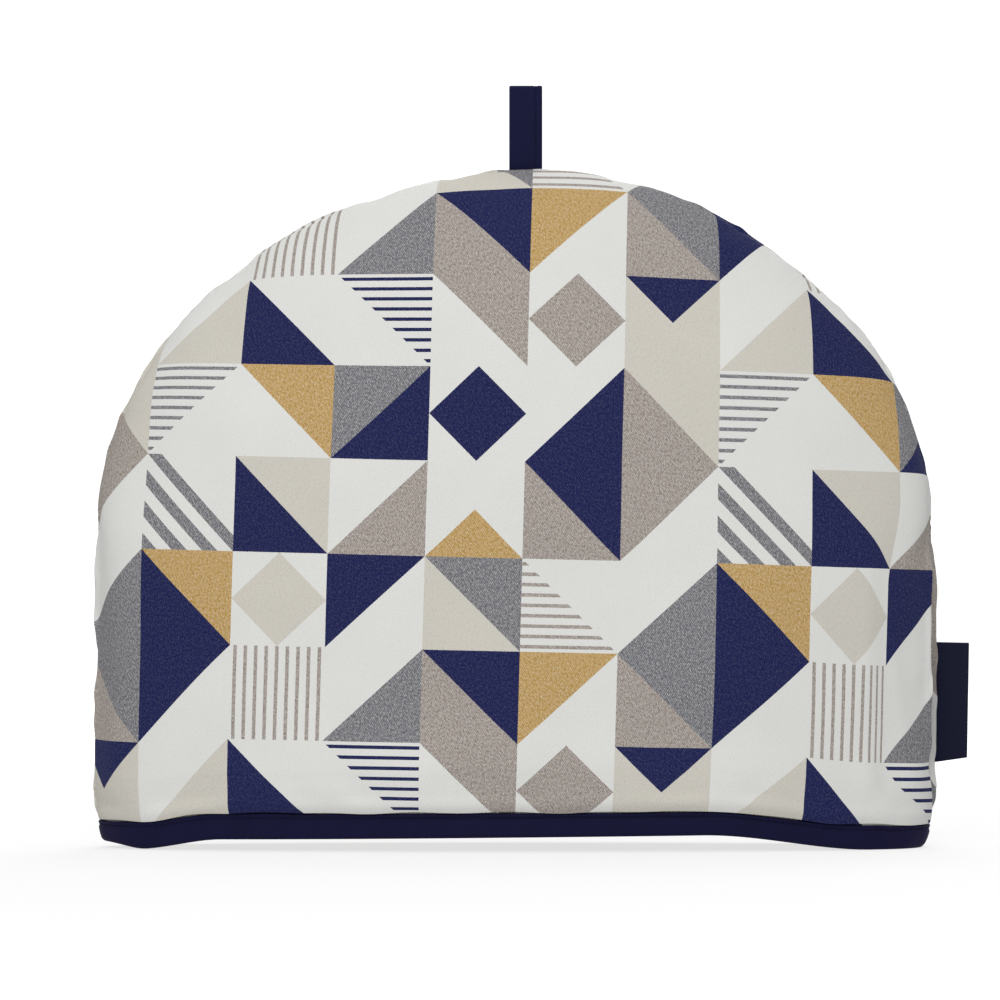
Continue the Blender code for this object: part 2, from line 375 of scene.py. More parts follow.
@dataclass(frozen=True)
class PrintedTwill:
    """Cotton twill with a printed patchwork of triangles, diamonds and stripes, and a plain inner face.

    Lengths are in mm on the flat cloth.
    """

    square: float = 38.5
    stripes: int = 9  # lines in a striped square
    line_share: float = 0.34
    chevron_bands: float = 3.0
    chevron_end: float = 0.33
    lean: float = math.radians(1.5)  # how far the cloth is turned on the panel, clockwise
    wale: float = 0.66  # from rib to rib of the twill
    rib_across: float = 0.88  # the direction over the ribs
    rib_up: float = 0.48
    floats_a_wale: float = 1.15
    float_length: float = 1.5
    fleck: tuple[float, float] = (0.62, 0.8)
    blotch: float = 24.0
    bare_parts: tuple[float, float, float] = (0.5, 0.3, 0.2)  # what the flecks, floats and ribs add
    bare_between: Span = (0.46, 0.74)  # to the level at which undyed thread shows
    bare_light: float = 0.86
    # painted shade: sunk_shade darkens the threads that lie low, rib_shade lightens and darkens the ribs
    sunk_parts: tuple[float, float] = (0.45, 0.55)  # what the flecks and floats add
    sunk_between: Span = (0.5, 0.3)  # to the level below which thread lies low and takes painted shade
    sunk_shade: float = 0.52
    rib_shade: float = 0.07
    blotch_shade: float = 0.05
    lining_shade: float = 0.12
    feel: Feel = Feel(0.88, 0.12, gloss=0.12, depth=0.12 * MM, strength=0.7, heights=(0.55, 0.45), sheen=0.02)
    chart: tuple[str, ...] = (
        # from the hem up: p plain, h half, g hourglass, d diamond, s striped half, e goose, k chevron and
        # l striped
        "d0tw e2nc h3cw h0nw s2nw h2tw",
        "h1ow h2gt h1nw l1tw h3gw h0tn",
        "s0tw h3gw h0no d0cw h1nw h2gc",
        "h2nt h1tw k0gw h0nc h3tw e0ow",
        "h3nw h0tc s1gw h2ow h1gn d0nw",
    )
    palette: tuple[tuple[Ink, Screen, float], ...] = (
        # ink, screen colour, and the share of it that its undyed threads lighten
        (Ink.WHITE, (224, 224, 221), 0.09),
        (Ink.CREAM, (206, 202, 192), 0.16),
        (Ink.TAUPE, (158, 148, 141), 0.58),
        (Ink.GREY, (116, 116, 122), 0.53),
        (Ink.OCHRE, (189, 153, 88), 0.50),
        (Ink.NAVY, (21, 28, 78), 0.07),
    )
    lining_colour: Screen = (212, 209, 201)
    undyed: Screen = (236, 234, 228)

    def figure_mask(self, motif: Sig, p: Sig, q: Sig, u: Sig, v: Sig) -> Sig:
        """Where the figure's colour shows in a square.

        Args:
            motif: The square's motif number.
            p: Place across the square after its turn, -0.5 to 0.5.
            q: Place up it.
            u: Place across the cloth.
            v: Place up it.

        Returns:
            1 in the figure and 0 in the ground.
        """
        rising, falling = p - q, p + q
        half = falling < 0.0
        pitch = self.square / self.stripes
        lines = ((v / pitch).fract() - 0.5).abs() < self.line_share / 2
        upright = ((u / pitch).fract() - 0.5).abs() < self.line_share / 2
        band = ((falling + 1.0) * self.chevron_bands).fract() < 0.5
        shapes = {
            Motif.HALF: half,
            Motif.HOURGLASS: (rising * falling) > 0.0,
            Motif.DIAMOND: (p.abs() + q.abs()) < 0.5,
            Motif.STRIPED_HALF: half * lines,
            Motif.GOOSE: (q + 0.5) < (0.5 - p.abs()),
            Motif.CHEVRON: band * (falling < self.chevron_end),
            Motif.STRIPED: upright,
        }
        total = motif * 0.0
        for shape, mask in shapes.items():
            total = total + motif.is_near(float(shape.value)) * mask
        return total

    def printed(self, shade: Shade, u: Sig, v: Sig) -> tuple[Socket, Sig]:
        """The print before its weave.

        Args:
            shade: The material's tree.
            u: Place across the cloth.
            v: Place up it.

        Returns:
            The flat colour, and how far undyed thread shows in it.
        """
        rows = [chart_row(text) for text in self.chart]
        across, up = len(rows[0]), len(rows)
        cell_u, cell_v = u / self.square, v / self.square
        column = ((cell_u / float(across)).fract() * float(across)).floor()
        row = ((cell_v / float(up)).fract() * float(up)).floor()
        count = across * up
        index = (row * float(across) + column + 0.5) / float(count)
        kinds, inks = len(Motif), len(Ink)
        stops = [
            (i / count, (s.motif.value / kinds, s.turns / 4, s.figure.value / inks, s.ground.value / inks))
            for i, s in enumerate(square for line in rows for square in line)
        ]
        chart = shade.ramp(index, stops)
        parts = shade.node("ShaderNodeSeparateColor", None, {0: chart.outputs[0]})
        motif = Sig(shade, parts.outputs[0]) * float(kinds)
        turn = Sig(shade, parts.outputs[1]) * TURN
        figure_ink, ground_ink = Sig(shade, parts.outputs[2]), Sig(shade, chart.outputs[1])
        p0, q0 = cell_u.fract() - 0.5, cell_v.fract() - 0.5
        p = p0 * turn.cos() - q0 * turn.sin()
        q = p0 * turn.sin() + q0 * turn.cos()
        mask = self.figure_mask(motif, p, q, u, v)

        palette = [(ink.value / inks, (*linear(*screen), threads)) for ink, screen, threads in self.palette]
        half_step = 0.5 / inks
        figure = shade.ramp(figure_ink + half_step, palette)
        ground = shade.ramp(ground_ink + half_step, palette)
        ink = shade.mix(mask, ground.outputs[0], figure.outputs[0])
        figure_threads, ground_threads = Sig(shade, figure.outputs[1]), Sig(shade, ground.outputs[1])
        return ink, ground_threads + (figure_threads - ground_threads) * mask

    def build(self) -> Material:
        """Makes the material: steep ribs broken into short floats, with undyed thread showing in the print,
        and painted shade on the low threads and the ribs.

        Returns:
            The material.
        """
        shade = Shade("printed_twill")
        level_u, level_v = shade.cloth_mm()
        u = level_u * math.cos(self.lean) - level_v * math.sin(self.lean)
        v = level_u * math.sin(self.lean) + level_v * math.cos(self.lean)
        ink, threads = self.printed(shade, u, v)

        rib_place = (u * self.rib_across + v * self.rib_up) / self.wale
        rib_run = (v * self.rib_across - u * self.rib_up) / self.float_length
        rib = rib_place.wave()
        floats = shade.noise(rib_place * self.floats_a_wale, rib_run, 1.0)
        flecks = shade.noise(u / self.fleck[0], v / self.fleck[1])
        blotches = shade.noise(u / self.blotch, v / self.blotch)
        bare = weighed(self.bare_parts, flecks, floats, rib).smooth(*self.bare_between)
        speckled = shade.mix(bare * threads * self.bare_light, ink, linear(*self.undyed))
        # painted shade: threads that lie low in the weave are darkened, and the ribs are lightened and
        # darkened
        sunk = weighed(self.sunk_parts, flecks, floats).smooth(*self.sunk_between)
        light = 1.0 - sunk * threads * self.sunk_shade + (rib - 0.5) * threads * self.rib_shade
        printed = shade.shaded(speckled, light + (blotches - 0.5) * self.blotch_shade)

        lining = Sig(shade, shade.node("ShaderNodeAttribute", {"attribute_name": LINING_MARK}).outputs[2])
        plain = shade.shaded(linear(*self.lining_colour), 1.0 + (floats - 0.5) * self.lining_shade)
        self.feel.lay(shade, shade.mix(lining, printed, plain), floats, (rib, floats))
        return shade.material


@dataclass(frozen=True)
class DyedCotton:
    """A plain-woven dyed cotton. Lengths are in mm on the flat cloth."""

    name: str
    screen: Screen
    thread: float = 0.32  # from thread to thread
    contrast: float = 0.5  # how much the threads show: painted shade of the weave's crossings, and the flecks' own tone
    bias: bool = False
    fleck: float = 0.5
    wash: tuple[float, float] = (14.0, 9.0)
    weave_shade: float = 0.6
    wash_shade: float = 0.35
    feel: Feel = Feel(
        0.8, 0.15, gloss=0.08, depth=0.06 * MM, strength=0.6, heights=(0.6, 0.4),
        sheen=0.015, sheen_roughness=0.4,
    )

    def build(self) -> Material:
        """Makes the material.

        Returns:
            The material.
        """
        shade = Shade(self.name)
        u, v = shade.cloth_mm()
        if self.bias:
            u, v = (u + v) * math.sqrt(0.5), (u - v) * math.sqrt(0.5)
        warp = (u * (TURN / self.thread)).sin()
        weft = (v * (TURN / self.thread)).sin()
        weave = (warp * weft + 1.0) * 0.5
        flecks = shade.noise(u / self.fleck, v / self.fleck)
        wash = shade.noise(u / self.wash[0], v / self.wash[1])
        # painted shade: the weave's crossings, which also make its bump, lighten and darken the colour; the
        # flecks vary its tone
        woven = 1.0 + (weave - 0.5) * self.contrast * self.weave_shade + (flecks - 0.5) * self.contrast
        colour = shade.shaded(linear(*self.screen), woven + (wash - 0.5) * self.wash_shade)
        self.feel.lay(shade, colour, flecks, (weave, flecks))
        return shade.material


@dataclass(frozen=True)
class WovenSatin:
    """The tab's close satin: fine ribs along its length, so many mm apart, and a soft gloss."""

    name: str = "navy_satin"
    screen: Screen = (12, 14, 37)
    rib: float = 0.34
    floats: tuple[float, float] = (0.3, 1.6)
    rib_shade: float = 0.25
    float_shade: float = 0.5
    feel: Feel = Feel(0.5, 0.2, gloss=0.08, depth=0.05 * MM, strength=0.5, heights=(0.7, 0.3))

    def build(self) -> Material:
        """Makes the material.

        Returns:
            The material.
        """
        shade = Shade(self.name)
        u, v = shade.cloth_mm()
        rib = v.wave(self.rib)
        floats = shade.noise(u / self.floats[0], v / self.floats[1])
        # painted shade: the ribs, which also make its bump, lighten and darken the colour; the floats noise
        # varies it too
        light = 1.0 + (rib - 0.5) * self.rib_shade + (floats - 0.5) * self.float_shade
        self.feel.lay(shade, shade.shaded(linear(*self.screen), light), floats, (rib, floats))
        return shade.material


@dataclass(frozen=True)
class SewingThread:
    """Twisted sewing thread, whose twist is so many turns a metre."""

    name: str
    screen: Screen
    twist: float = 2600.0
    twist_shade: float = 0.8
    roughness: float = 0.7
    gloss: float = 0.08

    def build(self) -> Material:
        """Makes the material.

        Returns:
            The material.
        """
        shade = Shade(self.name)
        place = shade.node("ShaderNodeTexCoord").outputs["Object"]
        twist = shade.sig("ShaderNodeTexNoise", None, {"Vector": place, "Scale": self.twist, "Detail": 1.0})
        shade.surface({
            "Base Color": shade.shaded(linear(*self.screen), 1.0 + (twist - 0.5) * self.twist_shade),
            "Roughness": self.roughness,
            "Specular IOR Level": self.gloss,
        })
        return shade.material


@dataclass(frozen=True)
class LitPaper:
    """The white paper under and behind the cosy, which glows evenly like a light table."""

    name: str
    glow: float
    albedo: float = 0.30
    roughness: float = 0.95

    def build(self) -> Material:
        """Makes the material.

        Returns:
            The material.
        """
        shade = Shade(self.name)
        shade.surface({
            "Base Color": (self.albedo,) * 3,
            "Roughness": self.roughness,
            "Specular IOR Level": 0.0,
            "Emission Color": (1.0, 1.0, 1.0),
            "Emission Strength": self.glow,
        })
        return shade.material


# -------------------- shell form


@dataclass(frozen=True)
class ShellForm:
    """The cosy's form, with the same driving sizes as its solids: outline, fullness, hem, roll and tucks."""

    half_width: float = 168.6 * MM
    shoulder: float = 121.5 * MM
    rise: float = 151.5 * MM
    lean: float = 1.7 * MM
    belly: float = 53.0 * MM
    crown: float = 44.0 * MM
    crown_exponent: float = 2.3
    seam_drawn: float = 2.0 * MM
    groove_reach: float = 3.5 * MM
    wall: float = 9.0 * MM
    allowance: float = 7.0 * MM
    pressed_wall: float = 4.2 * MM
    hem_drawn: float = 5.0 * MM
    hem_drawn_sides: float = 3.8 * MM
    swell: float = 16.0 * MM
    arch_height: float = 5.6 * MM
    arch_slope: float = 0.010
    arch_left: Span = (-152 * MM, -116 * MM)
    arch_right: Span = (74 * MM, 142 * MM)
    slack_crown: float = 1.0 * MM  # how far the cloth settles below the solids at the crown and shoulders
    slack_shoulders: float = 1.7 * MM
    slack_rise: float = 20 * MM
    binding_height: float = 10.2 * MM
    binding_slant: float = 0.8 * MM
    binding_cloth: float = 1.2 * MM
    roll_angle: float = math.radians(15)
    roll_bend: Span = (138 * MM, 160 * MM)
    roll_foot: Span = (12 * MM, 26 * MM)
    roll_head: Span = (104 * MM, 140 * MM)
    left_rise: float = 2.6 * MM  # how far the hem's left and right ends turn up and in
    left_turn: float = 1.6 * MM
    right_turn: float = 3.0 * MM
    right_curve: float = 1.5
    left_end: Span = (145 * MM, 166.3 * MM)
    right_end: Span = (150 * MM, 166.3 * MM)
    tab_proud: float = 12.5 * MM
    tuck_gain: float = 1.5
    tuck_spread: float = 0.85
    tucks: tuple[tuple[float, float, float], ...] = (
        # bearing from the crown in degrees, depth and reach in mm
        (-105.0, 1.0, 12.0),
        (-88.0, 1.2, 10.0),
        (-45.0, 1.4, 10.0),
        (-21.0, 1.2, 9.0),
        (-9.0, 1.0, 8.0),
        (16.5, 1.2, 9.0),
        (89.0, 1.4, 10.0),
        (118.0, 1.2, 10.0),
        (-14.0, 0.7, 45.0),
        (42.0, 0.6, 32.0),
        (62.5, -1.0, 34.0),
    )

    @property
    def middle_x(self) -> float:
        """The middle of the shell's width."""
        return -self.tab_proud / 2

    @property
    def bound(self) -> float:
        """The height that the binding never passes."""
        return self.binding_height + self.binding_slant + GAP

    @property
    def panel_edge(self) -> float:
        """The height of a panel's raw edge inside the binding."""
        return self.binding_cloth + GAP

    @property
    def mean_radius(self) -> float:
        """The dome's radius as a plain circle."""
        return (self.half_width + self.rise) / 2

    def pressed(self, z: Array) -> Array:
        """How far the hem is pressed thin at each height: 1 in the binding, 0 where the panel is full."""
        left = 1 - np.clip((z - self.bound) / self.swell, 0, 1)
        return 1 - np.sqrt(1 - left * left)

    def fullness(self, radius: Array) -> Array:
        """A panel's depth as a share, from 1 at its middle to 0 at the seam, where radius is 1."""
        return np.sqrt(np.maximum(0, 1 - np.minimum(radius, 1) ** self.crown_exponent))

    def edge_radius(self, share: float) -> float:
        """The radius at which a panel's depth is a share of its full depth."""
        return (1 - share**2) ** (1 / self.crown_exponent)

    def body_depth(self, z: Array) -> Array:
        """The outside of a full panel from the seam's plane, before its edges are rounded over."""
        full, top = self.bound + self.swell, self.shoulder + self.rise
        return self.belly + (self.crown - self.belly) * ease(z, full, top)

    def depth(self, t: Array, z: Array) -> Array:
        """The outer face's distance from the seam's plane at a share t of the half width."""
        radius = np.hypot(t, np.maximum(0, z - self.shoulder) / self.rise)
        return (self.body_depth(z) - self.hem_drawn * self.pressed(z)) * self.fullness(radius)

    def seam_at(self, bearing: float) -> tuple[float, float]:
        """The seam's outline.

        Args:
            bearing: The angle from the crown.

        Returns:
            The outline's x and z there.
        """
        across, up = math.sin(bearing), math.cos(bearing)
        if up > 0:
            reach = 1 / math.hypot(across / self.half_width, up / self.rise)
        else:
            reach = self.half_width / abs(across)
        return across * reach, self.shoulder + up * reach

    def arch(self, x: Array, z: Array) -> Array:
        """How far the arch of the hem lifts each point."""
        lift = (self.arch_height + self.arch_slope * x) * ease(x, *self.arch_left)
        return lift * (1 - ease(x, *self.arch_right)) * np.maximum(0, 1 - z / self.shoulder)

    def tucked(self, x: Array, y: Array, z: Array) -> tuple[Array, Array]:
        """Draws the cloth in at each tuck of the seam.

        Args:
            x: Places across the shell from its middle.
            y: Places behind the seam's plane.
            z: Heights.

        Returns:
            The new x and z.
        """
        for degrees, depth, reach in self.tucks:
            bearing = math.radians(degrees)
            seam_x, seam_z = self.seam_at(bearing)
            away = np.sqrt((x - seam_x) ** 2 + y**2 + (z - seam_z) ** 2)
            drawn = self.tuck_gain * depth * MM * np.exp(-((away / (reach * MM * self.tuck_spread)) ** 2))
            x = x - drawn * math.sin(bearing)
            z = z - drawn * math.cos(bearing)
        return x, z

    def ends_turned(self, x: Array, z: Array) -> tuple[Array, Array]:
        """Turns the hem's two ends up and in.

        Args:
            x: Places across the shell from its middle.
            z: Heights.

        Returns:
            The new x and z.
        """
        low = 1 - np.clip(z / self.binding_height, 0, 1)
        z = z + self.left_rise * low * ease(-x, *self.left_end)
        left = self.left_turn * low * ease(-x, *self.left_end)
        return x + left - self.right_turn * low**self.right_curve * ease(x, *self.right_end), z

    def rolled(self, x: Array, y: Array, z: Array) -> tuple[Array, Array]:
        """Rolls the right-hand seam towards the front.

        Args:
            x: Places across the shell from its middle.
            y: Places behind the seam's plane.
            z: Heights.

        Returns:
            The new x and y.
        """
        start, end = self.roll_bend
        slope = math.sin(self.roll_angle) * ease(z, *self.roll_foot) * (1 - ease(z, *self.roll_head))
        share = np.maximum(0, (x - start) / (end - start))
        bent = np.where(share < 1, share**3 - share**4 / 2, share - 0.5)
        return x + slope * ease(x, start, end) * y, y - slope * (end - start) * bent

    def settle(self, x: Array, y: Array, z: Array) -> Array:
        """Moves points of the even shell to where the sewn one has them.

        Args:
            x: Places across the shell from its middle.
            y: Places behind the seam's plane.
            z: Heights.

        Returns:
            The points, arched, leaning, tucked and rolled, in the part's frame.
        """
        x, z = self.tucked(x, y, z)
        x, z = self.ends_turned(x, z)
        x, y = self.rolled(x, y, z)
        above = np.maximum(0, z - self.shoulder)
        bearing = np.arctan2(x / self.half_width, above / self.rise)
        radius = np.minimum(1, np.hypot(x / self.half_width, above / self.rise)) ** 2
        z = z - self.slack_crown * (above / self.rise) ** 2
        drawn = self.slack_shoulders * radius * np.sin(2 * bearing) ** 2 * ease(above, 0, self.slack_rise)
        x, z = x - drawn * np.sin(bearing), z - drawn * np.cos(bearing)
        up = np.maximum(0, (z - self.shoulder) / self.rise)
        lean = self.lean * np.sin(math.pi * x / self.half_width) * up
        return np.stack([x + self.middle_x, y, z + self.arch(x, z) + lean], axis=-1)

    def settle_one(self, x: float, y: float, z: float) -> Vector:
        """The same for a single point."""
        return Vector(self.settle(np.array(x), np.array(y), np.array(z)).tolist())


# -------------------- mesh helpers


def grid_faces(columns: int, rows: int, start: int = 0) -> list[Quad]:
    """The quads of a grid whose points are stored row by row.

    Args:
        columns: Quads across.
        rows: Quads up.
        start: The first point's number.

    Returns:
        Four point numbers for each quad.
    """
    wide = columns + 1
    corners = (0, 1, wide + 1, wide)
    firsts = (start + r * wide + c for r in range(rows) for c in range(columns))
    return [tuple(first + corner for corner in corners) for first in firsts]


def grid_rim(columns: int, rows: int, start: int = 0) -> list[int]:
    """The points round the edge of a grid whose points are stored row by row.

    Args:
        columns: Quads across.
        rows: Quads up.
        start: The first point's number.

    Returns:
        Their numbers, in order, from the first.
    """
    wide = columns + 1
    bottom = [start + c for c in range(columns)]
    right = [start + r * wide + columns for r in range(rows)]
    top = [start + rows * wide + c for c in range(columns, 0, -1)]
    left = [start + r * wide for r in range(rows, 0, -1)]
    return bottom + right + top + left


def ring_faces(rings: int, steps: int, joined: bool = False) -> list[Quad]:
    """The quads between rings of points.

    Args:
        rings: How many rings there are.
        steps: Points in each.
        joined: Whether the last ring also meets the first.

    Returns:
        Four point numbers for each quad.
    """
    faces = []
    for ring in range(rings if joined else rings - 1):
        low, high = ring * steps, (ring + 1) % rings * steps
        for here in range(steps):
            there = (here + 1) % steps
            faces.append((low + here, low + there, high + there, high + here))
    return faces


def add_object(name: str, data: bpy.types.ID) -> Object:
    """Makes an object and puts it in the scene.

    Args:
        name: The object's name.
        data: Its mesh, curve, light or camera.

    Returns:
        The object.
    """
    made = bpy.data.objects.new(name, data)
    bpy.context.scene.collection.objects.link(made)
    return made


def mesh_piece(
    name: str,
    points: Array,
    faces: list[tuple[int, ...]],
    cloth: Array,
    material: Material,
) -> Object:
    """Makes a closed mesh object with its faces outwards and its place on the flat cloth as a UV map.

    Args:
        name: The piece's name.
        points: Its points, one row each.
        faces: Point numbers for each face.
        cloth: For each point, its place on the flat cloth in metres.
        material: Its material.

    Returns:
        The object, which is in the scene.
    """
    mesh = bpy.data.meshes.new(name)
    mesh.from_pydata(points.tolist(), [], faces)
    bm = bmesh.new()
    bm.from_mesh(mesh)
    bmesh.ops.recalc_face_normals(bm, faces=bm.faces)
    bm.to_mesh(mesh)
    bm.free()
    corners = np.empty(len(mesh.loops), np.int32)
    mesh.loops.foreach_get("vertex_index", corners)
    layer = mesh.uv_layers.new(name=CLOTH_UV)
    layer.data.foreach_set("uv", cloth[corners].astype(np.float32).ravel())
    mesh.shade_smooth()
    mesh.set_sharp_from_angle(angle=SHARP)
    mesh.materials.append(material)
    return add_object(name, mesh)


def lengths_along(points: Array, axis: int) -> Array:
    """The running length of a grid's lines.

    Args:
        points: The grid's points, with their coordinates last.
        axis: The axis that the lines run along.

    Returns:
        For each point, the length from its line's start.
    """
    steps = np.linalg.norm(np.diff(points, axis=axis), axis=-1)
    zero = np.zeros_like(np.take(steps, [0], axis=axis))
    return np.cumsum(np.concatenate([zero, steps], axis=axis), axis=axis)


def outward(path: Array) -> Array:
    """The unit normals to the left of a flat path.

    Args:
        path: Its points, in order.

    Returns:
        A normal for each point.
    """
    ahead = np.gradient(path, axis=0)
    ahead /= np.linalg.norm(ahead, axis=1, keepdims=True)
    return np.column_stack([-ahead[:, 1], ahead[:, 0]])


def placed(points: Array, place: Matrix) -> Array:
    """Points moved from a place's own axes into the scene."""
    world = np.array(place)
    return points @ world[:3, :3].T + world[:3, 3]


def blurred(values: Array, cells: float) -> Array:
    """Smooths a grid of numbers.

    Args:
        values: The grid.
        cells: How wide the smoothing is, in cells.

    Returns:
        The smoothed grid.
    """
    reach = max(1, round(3 * cells))  # beyond which the weights are next to nothing
    weights = np.exp(-((np.arange(-reach, reach + 1) / cells) ** 2) / 2)
    weights /= weights.sum()
    for axis in (0, 1):
        padded = np.pad(values, [(reach, reach) if a == axis else (0, 0) for a in (0, 1)], mode="edge")
        values = np.apply_along_axis(lambda line: np.convolve(line, weights, "valid"), axis, padded)
    return values


def enlarged(coarse: Array, rows: int, columns: int) -> Array:
    """Spreads a grid of every second point over all of them."""
    wide = np.array([np.interp(np.arange(columns) / 2, np.arange(coarse.shape[1]), line) for line in coarse])
    return np.array([np.interp(np.arange(rows) / 2, np.arange(coarse.shape[0]), line) for line in wide.T]).T


def dress(piece: Object, slot: str, *nodes: str) -> Object:
    """Fixes a finished piece to the body and hides the solids that it stands for.

    Args:
        piece: The piece.
        slot: The record's material slot. Not used.
        *nodes: The solids that it replaces.

    Returns:
        The piece.
    """
    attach(piece, BODY)
    if nodes:
        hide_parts(*nodes)
    log.info("%s: %d faces", piece.name, len(piece.data.polygons))
    return piece


# -------------------- panels


@dataclass(frozen=True)
class ClothRun:
    """The simulation of a sewn face, whose cloth is cut a little larger than the edges that hold it."""

    slack: float = 0.01
    pressure: float = 0.3
    frames: int = 24
    quality: int = 6
    mass: float = 0.25
    stretch: float = 18
    shear: float = 8
    bending: float = 0.4

    def relax(self, points: Array, held: Array, outwards: int) -> Array:
        """Runs Blender's cloth on a grid of points.

        Args:
            points: The grid.
            held: Which of its points the sewing holds.
            outwards: The sign of the pressure that blows it up.

        Returns:
            The grid as it comes to rest.
        """
        rows, columns = points.shape[:2]
        mesh = bpy.data.meshes.new("relaxing")
        mesh.from_pydata(points.reshape(-1, 3).tolist(), [], grid_faces(columns - 1, rows - 1))
        cloth = add_object("relaxing", mesh)
        sewn = cloth.vertex_groups.new(name="sewn")
        sewn.add(np.flatnonzero(held).tolist(), 1.0, "REPLACE")
        modifier = cloth.modifiers.new("Cloth", "CLOTH")
        settings = modifier.settings
        settings.vertex_group_mass = sewn.name
        settings.quality = self.quality
        settings.mass = self.mass
        settings.tension_stiffness = settings.compression_stiffness = self.stretch
        settings.shear_stiffness = self.shear
        settings.bending_stiffness = self.bending
        settings.shrink_min = -self.slack
        settings.use_pressure = True
        settings.uniform_pressure_force = self.pressure * outwards
        settings.effector_weights.gravity = 0
        modifier.collision_settings.use_self_collision = False
        modifier.point_cache.frame_end = self.frames
        for tick in range(1, self.frames + 1):
            bpy.context.scene.frame_set(tick)
        evaluated = cloth.evaluated_get(bpy.context.evaluated_depsgraph_get())
        after = np.empty(rows * columns * 3, np.float32)
        evaluated.to_mesh().vertices.foreach_get("co", after)
        evaluated.to_mesh_clear()
        bpy.data.objects.remove(cloth)
        bpy.context.scene.frame_set(1)
        return after.reshape(points.shape)


@dataclass(frozen=True)
class PuckerRow:
    """Puckers along a line of stitching, each of its own size. Lengths are in mm."""

    pitch: float
    depth: float
    spacing: Span  # from pucker to pucker, as a share of the pitch
    width: Span
    widening: float  # how far from the stitching a pucker is twice as wide
    slant: float
    reach: Span
    share: Span  # how deep each one is, as a share of the depth

    def drawn(self, rng: random.Random, run: Span, along: Array, away: Array) -> Array:
        """How far the puckers draw each point in.

        Args:
            rng: Where the sizes are drawn from.
            run: Where the row starts and ends.
            along: Where each point lies along the stitching.
            away: How far it lies from it.

        Returns:
            The depth at each point.
        """
        total = np.zeros(along.shape)
        place, end = run
        while place < end:
            place += self.pitch * MM * rng.uniform(*self.spacing)
            width = rng.uniform(*self.width) * MM * (1 + away / (self.widening * MM))
            slant = rng.uniform(-self.slant, self.slant)
            reach = rng.uniform(*self.reach) * MM
            depth = self.depth * MM * rng.uniform(*self.share)
            across = (along - place - slant * away) / width
            total += depth * np.exp(-(across**2)) * np.exp(-((away / reach) ** 2))
        return total


